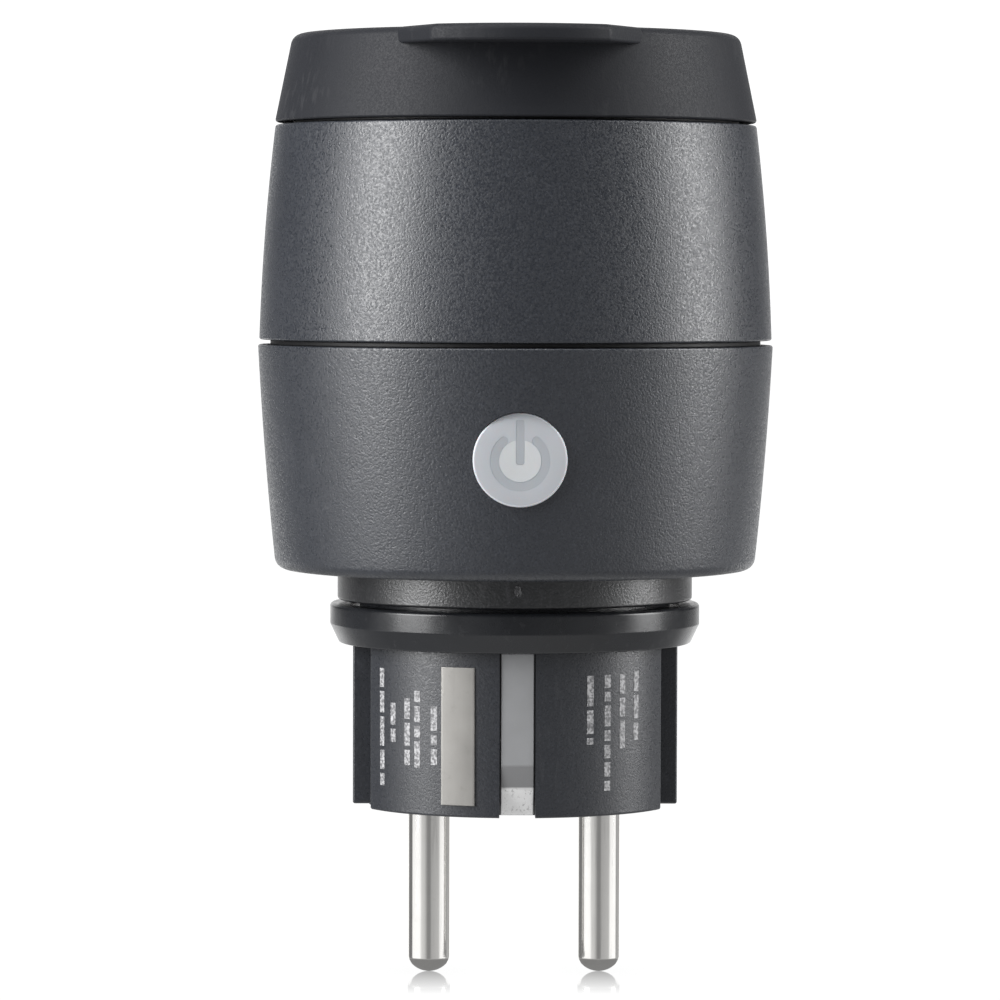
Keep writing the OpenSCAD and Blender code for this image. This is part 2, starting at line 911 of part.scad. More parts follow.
module lid_cavity() {
    rotate_extrude() polygon([
        [0, lid_z - 1],
        [lid_d / 2 - lid_wall, lid_z - 1],
        [lid_d / 2 - lid_wall, lid_z],
        [lid_top_d / 2 - lid_wall, lid_top - lid_t],
        [0, lid_top - lid_t],
    ]);
}

// Plan of the finger tab, from the lid wall to its curved front edge
module tab_plan() {
    side_x = 13.1;
    corner_x = 9.5;
    root_y = -20;
    wall_y = -21.3;
    centre_y = tab_r - tab_reach;
    corner_y = centre_y - sqrt(pow(tab_r, 2) - pow(corner_x, 2));
    intersection() {
        translate([0, centre_y]) circle(r = tab_r, $fn = 192);
        polygon([
            [-side_x, root_y],
            [-side_x, wall_y],
            [-corner_x, corner_y],
            [-corner_x, -tab_reach - 1],
            [corner_x, -tab_reach - 1],
            [corner_x, corner_y],
            [side_x, wall_y],
            [side_x, root_y],
        ]);
    }
}

module lid_knuckle_side() {
    arm_y = 24;
    arm_rise = 0.35;
    translate([hinge_y, hinge_z]) circle(d = knuckle_d);
    translate([arm_y, hinge_z + arm_rise]) square([hinge_y - arm_y, knuckle_d / 2 - arm_rise]);
}

module lid() {
    tab_drop = 0.02;
    rib_rise = 0.4;
    color("#303134") difference() {
        union() {
            difference() {
                union() {
                    lid_outer();
                    translate([0, 0, lid_top - tab_t]) linear_extrude(tab_t - tab_drop) tab_plan();
                    for (side = [-1, 1]) {
                        x0 = side > 0 ? lid_knuckle_x[0] : -lid_knuckle_x[1];
                        across(x0, x0 + lid_knuckle_x[1] - lid_knuckle_x[0]) lid_knuckle_side();
                    }
                }
                lid_cavity();
            }
            ring(rib_inner_r, rib_outer_r, lid_z + rib_rise, lid_top - lid_t + eps);
        }
        hinge_bore(hinge_pin_d / 2 + hinge_clearance, 20);
    }
}

module lid_seal() {
    color("#141517") ring(seal_inner_r, seal_outer_r, seal_bottom, seal_top);
}

// Centre line of the spring coil, which winds round the hinge pin
function coil_point(t) = [
    -spring_half_w + 2 * spring_half_w * t / spring_turns,
    hinge_y - spring_r * cos(360 * t),
    hinge_z + spring_r * sin(360 * t),
];

// One ring of points round the coil's wire at turn t
function wire_ring(t, sides) = [
    for (i = [0 : sides - 1])
    let (a = 360 * i / sides, out = spring_r + spring_wire_r * cos(a))
    [
        coil_point(t)[0] + spring_wire_r * sin(a),
        hinge_y - out * cos(360 * t),
        hinge_z + out * sin(360 * t),
    ]
];

module lid_spring() {
    sides = 8;
    steps = 18 * spring_turns;
    rings = [for (i = [0 : steps]) wire_ring(spring_turns * i / steps, sides)];
    points = [for (r = rings) each r];
    walls = [
        for (i = [0 : steps - 1], j = [0 : sides - 1])
        let (k = (j + 1) % sides, a = i * sides, b = a + sides)
        each [[a + j, b + j, b + k], [a + j, b + k, a + k]]
    ];
    start = [for (j = [1 : sides - 2]) [0, j, j + 1]];
    last = steps * sides;
    end = [for (j = [1 : sides - 2]) [last, last + j + 1, last + j]];
    leg_y = hinge_y - spring_r;
    leg_lean = 18;
    color("silver") {
        polyhedron(points = points, faces = concat(walls, start, end), convexity = 12);
        translate([-spring_half_w, leg_y, hinge_z - spring_fixed_leg]) {
            cylinder(r = spring_wire_r, h = spring_fixed_leg, $fn = 16);
        }
        translate([spring_half_w, leg_y, hinge_z]) rotate([leg_lean, 0, 0]) {
            cylinder(r = spring_wire_r, h = spring_lid_leg, $fn = 16);
        }
    }
}

plug_body();
line_pin();
neutral_pin();
earth_strip_front();
earth_strip_rear();
earth_yoke();
earth_pin_socket();
earth_riser();
nameplate();
sealing_collar();
neck();
plug_screws();
lower_housing();
housing_screws();
seam_ring();
upper_housing();
socket_insert();
line_contact();
neutral_contact();
earth_clip_front();
earth_clip_rear();
earth_strap();
power_board();
relay();
transformer();
film_capacitor();
bulk_capacitor();
varistor();
fuse();
control_board();
board_header();
wifi_module();
status_leds();
switch_body();
switch_plunger();
power_button();
lid();
lid_seal();
hinge_pin();
lid_spring();
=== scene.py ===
import json
import math
import random

import bmesh
import bpy
from mathutils import Matrix, Vector


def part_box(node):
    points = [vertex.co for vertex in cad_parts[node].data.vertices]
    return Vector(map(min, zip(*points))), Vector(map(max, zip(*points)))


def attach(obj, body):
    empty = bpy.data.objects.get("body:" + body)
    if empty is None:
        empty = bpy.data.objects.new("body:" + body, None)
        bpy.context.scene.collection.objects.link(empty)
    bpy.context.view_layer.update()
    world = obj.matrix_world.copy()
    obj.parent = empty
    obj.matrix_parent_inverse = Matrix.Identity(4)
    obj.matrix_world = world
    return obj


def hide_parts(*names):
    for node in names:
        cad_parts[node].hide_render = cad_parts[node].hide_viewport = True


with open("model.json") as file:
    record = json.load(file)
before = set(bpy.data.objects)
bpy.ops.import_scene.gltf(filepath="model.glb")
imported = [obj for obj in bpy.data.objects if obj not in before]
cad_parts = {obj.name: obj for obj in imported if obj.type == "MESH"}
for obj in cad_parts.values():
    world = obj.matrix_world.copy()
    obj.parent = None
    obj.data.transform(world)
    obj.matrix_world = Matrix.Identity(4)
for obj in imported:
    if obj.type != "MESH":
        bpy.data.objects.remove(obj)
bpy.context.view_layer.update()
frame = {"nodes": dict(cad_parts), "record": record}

# Lengths in this script are millimetres until build() turns them into metres.
MM = 0.001
SEGMENTS = 192


def node_box(node):
    """The lowest and highest corner of a CAD node, in millimetres."""
    low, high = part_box(node)
    return low / MM, high / MM


# ---- Dimensions

body_high = node_box("plug_body")[1]
lower_low, lower_high = node_box("lower_housing")
upper_low = node_box("upper_housing")[0]
lid_low, lid_high = node_box("lid")
seal_low, seal_high = node_box("lid_seal")
pin_low, pin_high = node_box("line_pin")
collar_low, collar_high = node_box("sealing_collar")
neck_low, neck_high = node_box("neck")
ring_high = node_box("seam_ring")[1]
button_low, button_high = node_box("power_button")
hinge_low, hinge_high = node_box("hinge_pin")
screw_low, screw_high = node_box("housing_screws")
plate_low, plate_high = node_box("nameplate")
strip_low, strip_high = node_box("earth_strip_front")
yoke_low, yoke_high = node_box("earth_yoke")

# Heights of the faces where the pieces meet
PLUG_TOP = collar_low.z
SPIGOT_TOP = body_high.z
BASE_Z = lower_low.z
FLOOR_TOP = BASE_Z + 2
SEAM_Z = lower_high.z
UPPER_Z = upper_low.z
RIM_Z = 75.5
LID_Z = 75.8
LID_TOP = lid_high.z

SPIGOT_R = 17.3
NECK_R = 19.8
COLLAR_R = collar_high.x
UPPER_BORE_R = 26.2
LID_BOTTOM_R = 26.8
LID_TOP_R = 24.8

# The walls of the two housings follow large arcs: (widest radius, its height, arc radius)
LOWER_BULGE = (29.185, 72.15, 420)
UPPER_BULGE = (28.64, 43.72, 266)

CHEEK_R = 18.1
CHEEK_DRAFT = 0.1
CHEEK_HALF_W = 16
RAIL_REACH = body_high.x
RAIL_Y = (2.75, 4.6)
RAIL_BOTTOM = 0.25
GROOVE_FLOOR = 16.2
EARTH_SLOT_HALF_W = 1.95
EARTH_HALF_W = strip_high.x
STRIP_REACH = -strip_low.y
STRIP_INNER = STRIP_REACH - 0.8

PIN_PITCH = 19
PIN_R = 2.4
PIN_DOME_R = 2.65
PIN_SHANK_R = 2.2
PIN_TAIL_R = 1.4
PIN_SHANK_TOP = 24
EARTH_HOLE_R = 3.1
EARTH_HOLE_Y = -10
EARTH_HOLE_TOP = 16.4
PLUG_SCREW_R = 1.25
PLUG_SCREW_Y = 15.2

POST_RING_R = 22.5
POST_R = 3.1
SCREW_R = 1.25
SCREW_HEAD_R = 2.3
SCREW_HEAD_TOP = screw_low.z + 1.9
HINGE_Y = (hinge_low.y + hinge_high.y) / 2
HINGE_Z = (hinge_low.z + hinge_high.z) / 2
KNUCKLE_R = 2.599
HINGE_POCKET_R = 3.0
LID_KNUCKLE_X = (5, 8.7)
HOUSING_KNUCKLE_X = (9, hinge_high.x)

BUTTON_R = 5.05
BUTTON_HOLE_R = 5.1
BUTTON_Z = (button_low.z + button_high.z) / 2
BUTTON_FRONT = button_low.y
BUTTON_FLANGE_Y = button_high.y - 0.8
BUTTON_FLANGE_R = 6.2
# The power symbol: its height, a ring with a gap at the top (half its angle, in degrees), and a bar
SYMBOL_Z = BUTTON_Z - 0.1
SYMBOL_RING = (2.29, 3.21)
SYMBOL_GAP = 39
BAR_HALF_W = 0.435
BAR_BOTTOM = -0.4
BAR_TOP = 4.35

# ---- Mesh builders


def rounded(corners, steps=5, closed=True):
    """A 2-D path through corners (a, b, radius); a corner without a radius stays sharp."""
    path = []
    last = len(corners) - 1
    for i, corner in enumerate(corners):
        here = Vector(corner[:2])
        radius = corner[2] if len(corner) > 2 else 0
        if radius == 0 or (not closed and i in (0, last)):
            path.append(here)
            continue
        back = Vector(corners[i - 1][:2]) - here
        ahead = Vector(corners[(i + 1) % len(corners)][:2]) - here
        half = back.angle(ahead) / 2
        reach = min(radius / math.tan(half), 0.49 * back.length, 0.49 * ahead.length)
        radius = reach * math.tan(half)
        middle = back.normalized() + ahead.normalized()
        centre = here + middle.normalized() * (radius / math.sin(half))
        start = here + back.normalized() * reach - centre
        end = here + ahead.normalized() * reach - centre
        first = math.atan2(start.y, start.x)
        turn = math.atan2(end.y, end.x) - first
        turn = (turn + math.pi) % (2 * math.pi) - math.pi
        for k in range(steps + 1):
            angle = first + turn * k / steps
            path.append(centre + radius * Vector((math.cos(angle), math.sin(angle))))
    return path


def barrel_radius(z, bulge):
    """Radius of a barrel wall at one height."""
    widest, height, arc = bulge
    return widest - arc + math.sqrt(arc ** 2 - (height - z) ** 2)


def barrel_wall(bottom, top, bulge, count=24):
    """Points up a barrel wall, as sharp corners for rounded()."""
    heights = [bottom + (top - bottom) * i / count for i in range(count + 1)]
    return [(barrel_radius(z, bulge), z) for z in heights]


def arc_points(radius, first, last, count, centre=(0, 0)):
    """Points along an arc, angles in degrees."""
    made = []
    for i in range(count + 1):
        angle = math.radians(first + (last - first) * i / count)
        made.append((centre[0] + radius * math.cos(angle), centre[1] + radius * math.sin(angle)))
    return made


def inset(outline, amount):
    """The outline moved inwards; it runs anticlockwise."""
    moved = []
    count = len(outline)
    for i in range(count):
        here = Vector(outline[i][:2])
        before = (here - Vector(outline[i - 1][:2])).normalized()
        after = (Vector(outline[(i + 1) % count][:2]) - here).normalized()
        left_before = Vector((-before.y, before.x))
        left_after = Vector((-after.y, after.x))
        stretch = max(0.35, 1 + left_before.dot(left_after))
        moved.append(here + (left_before + left_after) * (amount / stretch))
    return moved


def build(name, bm, matrix=None):
    """Turns a bmesh in millimetres into an object in metres."""
    bmesh.ops.remove_doubles(bm, verts=bm.verts, dist=1e-5)
    bmesh.ops.transform(bm, matrix=Matrix.Scale(MM, 4) @ (matrix or Matrix.Identity(4)), verts=bm.verts)
    bmesh.ops.recalc_face_normals(bm, faces=bm.faces)
    mesh = bpy.data.meshes.new(name)
    bm.to_mesh(mesh)
    bm.free()
    made = bpy.data.objects.new(name, mesh)
    bpy.context.scene.collection.objects.link(made)
    return made


def skin(bm, rings, closed=False):
    """Faces between neighbouring rings of vertices; a ring of one vertex is a pole."""
    pairs = list(zip(rings, rings[1:]))
    if closed:
        pairs.append((rings[-1], rings[0]))
    for low, high in pairs:
        count = max(len(low), len(high))
        for i in range(count):
            j = (i + 1) % count
            corners = [low[i % len(low)], low[j % len(low)], high[j % len(high)], high[i % len(high)]]
            corners = list(dict.fromkeys(corners))
            if len(corners) > 2:
                bm.faces.new(corners)


def revolve(name, profile, closed=False, segments=SEGMENTS, matrix=None):
    """A solid of revolution about Z from a profile of (radius, height) points."""
    bm = bmesh.new()
    turns = [2 * math.pi * i / segments for i in range(segments)]
    rings = []
    for radius, z in profile:
        if radius < 1e-6:
            rings.append([bm.verts.new((0, 0, z))])
        else:
            rings.append([bm.verts.new((radius * math.cos(a), radius * math.sin(a), z)) for a in turns])
    skin(bm, rings, closed)
    return build(name, bm, matrix)


def edge_levels(edge, steps=4):
    """(distance from the end face, inset) pairs along a rounded edge, from the end face on."""
    if not edge:
        return [(0, 0)]
    angles = [math.pi / 2 * i / steps for i in range(steps + 1)]
    return [(edge * (1 - math.cos(a)), edge * (1 - math.sin(a))) for a in angles]


def loft(name, levels, matrix=None):
    """A solid through outlines at rising heights, given as (height, outline) pairs."""
    bm = bmesh.new()
    rings = [[bm.verts.new((p[0], p[1], z)) for p in outline] for z, outline in levels]
    skin(bm, rings)
    bm.faces.new(rings[0])
    bm.faces.new(rings[-1])
    return build(name, bm, matrix)


def prism(name, outline, low, high, low_edge=0.0, high_edge=0.0, matrix=None):
    """An anticlockwise outline raised from low to high, with rounded edges of the two given radii."""
    levels = [(low + away, inset(outline, amount)) for away, amount in edge_levels(low_edge)]
    levels += [(high - away, inset(outline, amount)) for away, amount in reversed(edge_levels(high_edge))]
    return loft(name, levels, matrix)


# For prisms drawn in (Y, Z) and raised along X, the same mirrored to the rear, and for prisms drawn
# in (X, Z) and raised along -Y
ACROSS_X = Matrix(((0, 0, 1, 0), (1, 0, 0, 0), (0, 1, 0, 0), (0, 0, 0, 1)))
ACROSS_X_REAR = Matrix.Scale(-1, 4, (0, 1, 0)) @ ACROSS_X
OUT_FRONT = Matrix(((1, 0, 0, 0), (0, 0, -1, 0), (0, 1, 0, 0), (0, 0, 0, 1)))


def shift(x=0.0, y=0.0, z=0.0):
    return Matrix.Translation((x, y, z))


def rod(name, radius, start, end, edge=0.0, segments=48):
    """A cylinder between two points, with rounded rims."""
    along = Vector(end) - Vector(start)
    length = along.length
    corners = [(0, 0), (radius, 0, edge), (radius, length, edge), (0, length)]
    turn = along.to_track_quat("Z", "Y").to_matrix().to_4x4()
    matrix = Matrix.Translation(start) @ turn
    return revolve(name, rounded(corners, 3, closed=False), False, segments, matrix)


def settle(piece):
    """Makes what a piece's modifiers show into its own mesh."""
    depsgraph = bpy.context.evaluated_depsgraph_get()
    mesh = bpy.data.meshes.new_from_object(piece.evaluated_get(depsgraph))
    piece.modifiers.clear()
    old = piece.data
    piece.data = mesh
    bpy.data.meshes.remove(old)


def carve(piece, tool, operation="DIFFERENCE"):
    """Cuts or joins a tool into a piece and removes the tool."""
    change = piece.modifiers.new("change", "BOOLEAN")
    change.operation = operation
    change.object = tool
    change.solver = "MANIFOLD"
    settle(piece)
    bpy.data.objects.remove(tool)


def drill(piece, radius, x, y, low, high, segments=48):
    """Cuts an upright round hole."""
    carve(piece, rod("drill", radius, (x, y, low), (x, y, high), segments=segments))


def join(piece, *others):
    """Adds separate solids to a piece's mesh."""
    bm = bmesh.new()
    bm.from_mesh(piece.data)
    for other in others:
        bm.from_mesh(other.data)
        bpy.data.objects.remove(other)
    bm.to_mesh(piece.data)
    bm.free()
    return piece


def smooth(piece, degrees=32):
    """Smooth shading with sharp edges above an angle; large faces keep their own direction."""
    mesh = piece.data
    mesh.polygons.foreach_set("use_smooth", [True] * len(mesh.polygons))
    mesh.set_sharp_from_angle(angle=math.radians(degrees))
    weigh = piece.modifiers.new("weigh", "WEIGHTED_NORMAL")
    weigh.weight = 50
    weigh.keep_sharp = True
    settle(piece)


def true_normals(piece, normal_at):
    """Gives faces that lie on a known curved surface that surface's own normals."""
    mesh = piece.data
    normals = [corner.vector.copy() for corner in mesh.corner_normals]
    for polygon in mesh.polygons:
        for loop in polygon.loop_indices:
            wanted = normal_at(mesh.vertices[mesh.loops[loop].vertex_index].co / MM)
            if wanted is not None and polygon.normal.dot(wanted) > 0.9:
                normals[loop] = wanted
    mesh.normals_split_custom_set(normals)


def barrel_normal(bulge, bottom, top):
    """The normal of a barrel wall at a point on it, or None away from it."""
    def at(point):
        radius = math.hypot(point.x, point.y)
        if not bottom < point.z < top or abs(radius - barrel_radius(point.z, bulge)) > 0.03:
            return None
        widest, height, arc = bulge
        out = radius - (widest - arc)
        return Vector((point.x / radius * out, point.y / radius * out, point.z - height)).normalized()
    return at


def cone_normal(low, high):
    """The normal of a cone through two (radius, height) points, or None away from it."""
    slope = (high[0] - low[0]) / (high[1] - low[1])

    def at(point):
        radius = math.hypot(point.x, point.y)
        here = low[0] + slope * (point.z - low[1])
        if not low[1] < point.z < high[1] or abs(radius - here) > 0.03:
            return None
        return Vector((point.x / radius, point.y / radius, -slope)).normalized()
    return at


# ---- Materials


class Graph:
    """A tree of shader nodes, with short ways to add and join them."""

    def __init__(self, tree):
        self.nodes = tree.nodes
        self.links = tree.links

    def feed(self, socket, value):
        """Gives an input a plain value or another node's output."""
        if isinstance(value, bpy.types.NodeSocket):
            self.links.new(value, socket)
        elif value is not None:
            socket.default_value = value

    def feed_named(self, node, named):
        """Feeds inputs by name, with _ for a space."""
        for name, value in named.items():
            self.feed(node.inputs[name.replace("_", " ")], value)

    def add(self, kind, *values, setting=(), **named):
        """A new node; values go to its inputs in order or by name, and a setting is its name and value."""
        node = self.nodes.new("ShaderNode" + kind)
        if setting:
            setattr(node, *setting)
        for socket, value in zip(node.inputs, values):
            self.feed(socket, value)
        self.feed_named(node, named)
        return node

    def math(self, operation, *values):
        return self.add("Math", *values, setting=("operation", operation)).outputs[0]

    def span(self, value, from_low, from_high, to_low, to_high):
        """Maps one range of a value onto another, without going past its ends."""
        return self.add("MapRange", value, from_low, from_high, to_low, to_high).outputs[0]

    def mix(self, factor, a, b):
        """Colour a where the factor is 0, and b where it is 1."""
        node = self.add("Mix", factor, setting=("data_type", "RGBA"))
        self.feed(node.inputs[6], a)
        self.feed(node.inputs[7], b)
        return node.outputs[2]

    def axes(self, place):
        """The X, Y and Z outputs of a place or a direction."""
        return self.add("SeparateXYZ", place).outputs


# Every finished look by its name; a piece that has no look of its own takes the one named after its slot
LOOKS = {}


class Look(Graph):
    """One procedural material, built up by its methods."""

    def __init__(self, name, color, roughness, metallic=0.0):
        self.name = name
        self.material = bpy.data.materials.new(name)
        self.material.use_nodes = True
        super().__init__(self.material.node_tree)
        self.shader = self.nodes["Principled BSDF"]
        self.shader.inputs["Metallic"].default_value = metallic
        self.place = self.add("TexCoord").outputs["Object"]
        self.color = self.constant("RGB", (*color, 1))
        self.roughness = self.constant("Value", roughness)
        self.normal = None

    def constant(self, kind, value):
        output = self.add(kind).outputs[0]
        output.default_value = value
        return output

    def noise(self, size, detail=3.0, stretch=(1, 1, 1), roughness=0.5):
        """Noise with blobs of about size millimetres, shorter along an axis whose stretch is above 1."""
        place = self.add("Mapping", self.place, Scale=stretch).outputs[0]
        node = self.add("TexNoise", place, Scale=1 / (size * MM), Detail=detail, Roughness=roughness)
        return node.outputs["Fac"]

    def cells(self, size):
        """Distance to the middle of cells about size millimetres wide."""
        return self.add("TexVoronoi", self.place, Scale=1 / (size * MM)).outputs["Distance"]

    def tint(self, factor, color, amount=1.0):
        """Mixes a colour in where factor is high."""
        self.color = self.mix(self.math("MULTIPLY", factor, amount), self.color, (*color, 1))

    def roughen(self, value, *ranges):
        """Adds to the roughness what span() makes of a value."""
        self.roughness = self.math("ADD", self.roughness, self.span(value, *ranges))

    def mottle(self, size, amount):
        """Varies brightness and roughness gently from place to place."""
        noise = self.noise(size, 4)
        value = self.span(noise, 0.3, 0.7, 1 - amount, 1 + amount)
        self.color = self.add("HueSaturation", Value=value, Color=self.color).outputs[0]
        self.roughen(noise, 0.3, 0.7, -amount / 3, amount / 3)

    def bump(self, height, depth, strength=1.0):
        """Adds relief of depth millimetres."""
        node = self.add("Bump", Strength=strength, Distance=depth * MM, Height=height, Normal=self.normal)
        self.normal = node.outputs[0]

    def wear(self, color, amount):
        """Paler, rubbed edges."""
        edge = self.span(self.add("NewGeometry").outputs["Pointiness"], 0.52, 0.62, 0, 1)
        self.tint(self.math("MULTIPLY", edge, self.noise(1.5, 5)), color, amount)

    def painted_glints(self, size, color, amount):
        """Painted glints: tiny pale points painted into the colour where the grain would catch the light."""
        self.tint(self.span(self.noise(size, 1), 0.54, 0.70, 0, 1), color, amount)

    def scuffs(self, color, amount):
        """Faint pale rubs in loose patches."""
        patches = self.span(self.noise(14, 2), 0.52, 0.66, 0, 1)
        fibres = self.span(self.noise(0.8, 5, (1, 1, 0.3)), 0.54, 0.66, 0, 1)
        self.tint(self.math("MULTIPLY", patches, fibres), color, amount)

    def done(self, **named):
        """Joins everything to the shader, with plain values for other inputs."""
        made = {"Base_Color": self.color, "Roughness": self.roughness, "Normal": self.normal}
        self.feed_named(self.shader, made | named)
        LOOKS[self.name] = self.material
        return self.material


def grained_plastic(name, color, roughness, grain, depth, sparkle=0.1, specular=0.5, painted_glint_amount=0.0):
    """Moulded plastic with a spark-eroded grain and painted glints in its colour."""
    look = Look(name, color, roughness)
    look.mottle(9, 0.05)
    fine = look.noise(grain, 2, roughness=0.6)
    look.roughen(fine, 0.35, 0.65, -sparkle, sparkle)
    look.bump(fine, depth)
    look.bump(look.noise(grain * 3.1, 2), depth * 0.5, 0.5)
    # Painted glints: pale specks painted into the colour, standing in for light caught by the grain
    look.painted_glints(grain * 0.9, [c * 4 for c in color], painted_glint_amount)
    look.scuffs([0.08 + c for c in color], 0.12)
    return look.done(Specular_IOR_Level=specular)


def metal(name, color, roughness, brush=(1, 1, 40), streak=0.05, metallic=1.0):
    """Plated or bare metal with fine drawing lines and light handling marks."""
    look = Look(name, color, roughness, metallic)
    look.mottle(3, 0.06)
    lines = look.noise(0.6, 3, brush)
    look.roughen(lines, 0.3, 0.7, -streak, streak)
    look.bump(lines, 0.0015, 0.6)
    look.tint(look.span(look.noise(0.9, 6), 0.62, 0.75, 0, 1), [c * 0.6 for c in color], 0.25)
    return look.done()


def neck_material():
    """Half-gloss plastic with a fine sparkle, from bumps and from painted glints in its colour."""
    look = Look("neck_plastic", (0.013, 0.014, 0.016), 0.33)
    look.mottle(4, 0.08)
    look.bump(look.noise(0.26, 3), 0.042)
    look.bump(look.noise(2.2, 3, (1, 1, 2.5)), 0.02, 0.5)
    # Painted glints: pale specks painted into the colour, standing in for light caught by the grain
    look.painted_glints(0.24, (0.12, 0.12, 0.13), 0.2)
    look.scuffs((0.12, 0.12, 0.13), 0.2)
    return look.done(Specular_IOR_Level=0.75)


def rubber(name, color, roughness, specular=0.5):
    """Moulded rubber with a soft bloom and dust caught on it."""
    look = Look(name, color, roughness)
    look.mottle(4, 0.12)
    look.tint(look.span(look.noise(1.1, 6), 0.6, 0.8, 0, 1), (0.09, 0.09, 0.095), 0.25)
    look.bump(look.noise(0.25, 3), 0.005, 0.7)
    look.bump(look.noise(3, 2), 0.04, 0.3)
    return look.done(Specular_IOR_Level=specular)


def silicone(name, color, roughness=0.48, rim=None):
    """Translucent milky silicone; beyond a rim distance (mm) from the button's axis it is painted paler, a
    painted highlight round the rim.
    """
    look = Look(name, color, roughness)
    look.mottle(3.5, 0.025)
    # Painted highlight: a paler ring painted round the button's rim
    if rim:
        place = look.axes(look.place)
        up = look.math("SUBTRACT", place["Z"], BUTTON_Z * MM)
        squares = look.math("ADD", look.math("POWER", place["X"], 2), look.math("POWER", up, 2))
        beyond = look.span(look.math("SQRT", squares), (rim - 0.05) * MM, rim * MM, 0, 1)
        look.tint(beyond, [min(1, c * 1.35) for c in color])
    look.bump(look.noise(0.16, 2), 0.003, 0.6)
    return look.done(Subsurface_Weight=0.1, Subsurface_Scale=0.0015, IOR=1.41, Specular_IOR_Level=0.2)


def polished_nickel():
    """Mirror-like plating with drawing lines round the pin and hairline scratches along it."""
    look = Look("nickel", (0.74, 0.73, 0.71), 0.13, 1.0)
    look.mottle(2.5, 0.03)
    look.bump(look.noise(0.9, 3, (1, 1, 30)), 0.0006, 0.6)
    scratches = look.noise(0.35, 4, (1, 1, 0.05))
    look.roughen(scratches, 0.55, 0.8, 0, 0.12)
    look.bump(scratches, 0.0008, 0.4)
    look.tint(look.span(look.noise(0.7, 6), 0.66, 0.8, 0, 1), (0.42, 0.41, 0.40), 0.3)
    return look.done()


def strip_metal():
    """Brushed contact strip: a soft sheen on the leg, painted shade at the bend, and at the foot a pale
    colour painted for light from the floor, with real scratches.
    """
    bend_top, foot_top = 5.9, 3.4
    look = Look("strip_nickel", (0.37, 0.375, 0.385), 0.36)
    look.mottle(3, 0.05)
    brushed = look.noise(0.5, 3, (0.12, 1, 4))
    look.bump(brushed, 0.010, 0.8)
    z = look.axes(look.place)["Z"]
    # Painted shade: darkened from the bend's top down, for the shade the tilted bend is in
    look.tint(look.span(z, bend_top * MM, (bend_top - 0.3) * MM, 0, 1), (0.24, 0.24, 0.245), 0.85)
    # Painted light: the foot is painted pale for the floor's light on it; the scratches over it are real
    # wear
    foot = look.span(z, foot_top * MM, (foot_top - 0.2) * MM, 0, 1)
    look.tint(foot, (0.85, 0.85, 0.85))
    scratches = look.span(look.noise(0.35, 5, (1, 1, 0.6), 0.75), 0.56, 0.62, 0, 1)
    look.tint(look.math("MULTIPLY", foot, scratches), (0.25, 0.25, 0.25), 0.5)
    look.bump(scratches, 0.004, 0.4)
    return look.done(Metallic=look.span(foot, 0, 1, 0.35, 0.4))


def circuit_board():
    """Green solder mask over faint tracks, with tinned pads."""
    look = Look("circuit_board", (0.020, 0.110, 0.050), 0.32)
    look.mottle(6, 0.08)
    tracks = look.noise(1.6, 1, (1, 0.25, 1))
    look.tint(look.span(tracks, 0.5, 0.53, 0, 1), (0.035, 0.180, 0.080), 0.7)
    pads = look.cells(2.3)
    look.tint(look.span(pads, 0.14, 0.17, 1, 0), (0.55, 0.54, 0.50), 0.9)
    look.bump(tracks, 0.02, 0.5)
    return look.done(Coat_Weight=0.3)


def winding():
    """Taped winding with turns showing through."""
    look = Look("winding", (0.55, 0.42, 0.08), 0.42)
    look.mottle(2, 0.1)
    look.bump(look.noise(0.5, 2, (0.2, 0.2, 3)), 0.05, 0.8)
    return look.done()


def painted(name, color, roughness):
    """A dipped or moulded small part with rubbed edges."""
    look = Look(name, color, roughness)
    look.mottle(1.8, 0.1)
    look.bump(look.noise(0.7, 3), 0.02, 0.6)
    look.wear([min(1, c * 1.5 + 0.05) for c in color], 0.4)
    return look.done()


# For the housing and the plug plastic, the last number is the strength of the painted glints
grained_plastic("housing", (0.0200, 0.0225, 0.0285), 0.38, 0.25, 0.052, 0.16, 0.62, 0.15)
grained_plastic("lid", (0.0145, 0.0155, 0.0190), 0.58, 0.22, 0.016, 0.08, 0.20)
grained_plastic("plug_plastic", (0.019, 0.021, 0.026), 0.36, 0.25, 0.026, 0.10, 0.6, 0.15)
grained_plastic("insert_plastic", (0.018, 0.018, 0.020), 0.38, 0.30, 0.006, 0.04)
neck_material()
rubber("collar_rubber", (0.011, 0.012, 0.0145), 0.26, 0.48)
rubber("seal_rubber", (0.010, 0.010, 0.011), 0.55)
# Painted paler past the rim distance: a painted highlight round the button's rim
silicone("button_silicone", (0.415, 0.43, 0.457), rim=BUTTON_R - 0.17)
polished_nickel()
strip_metal()
metal("nameplate", (0.255, 0.248, 0.235), 0.42, (1, 1, 0.06), 0.1, 0.3)
metal("steel", (0.56, 0.56, 0.56), 0.32)
metal("spring_steel", (0.52, 0.52, 0.53), 0.26, (30, 1, 1))
metal("brass", (0.72, 0.50, 0.22), 0.28, (1, 1, 0.1))
circuit_board()
painted("relay_plastic", (0.020, 0.038, 0.110), 0.35)
winding()
painted("yellow_case", (0.60, 0.40, 0.04), 0.38)
painted("black_part", (0.020, 0.020, 0.022), 0.40)
painted("blue_part", (0.030, 0.120, 0.350), 0.30)
painted("fuse_body", (0.300, 0.160, 0.080), 0.45)
silicone("led", (0.80, 0.80, 0.74), 0.2)


def finish_piece(piece, body, slot, *nodes, look=None, degrees=32):
    """Shades a piece, gives it its material and body, and hides the CAD nodes it stands for."""
    if not piece.data.has_custom_normals:
        smooth(piece, degrees)
    piece.data.materials.clear()
    piece.data.materials.append(look or LOOKS[slot])
    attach(piece, body)
    if nodes:
        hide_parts(*nodes)


# ---- Shells


def posts():
    """Direction (degrees) and centre (x, y) of each post that a housing screw goes into."""
    for angle in (45, 135, 225, 315):
        turn = math.radians(angle)
        yield angle, POST_RING_R * math.cos(turn), POST_RING_R * math.sin(turn)


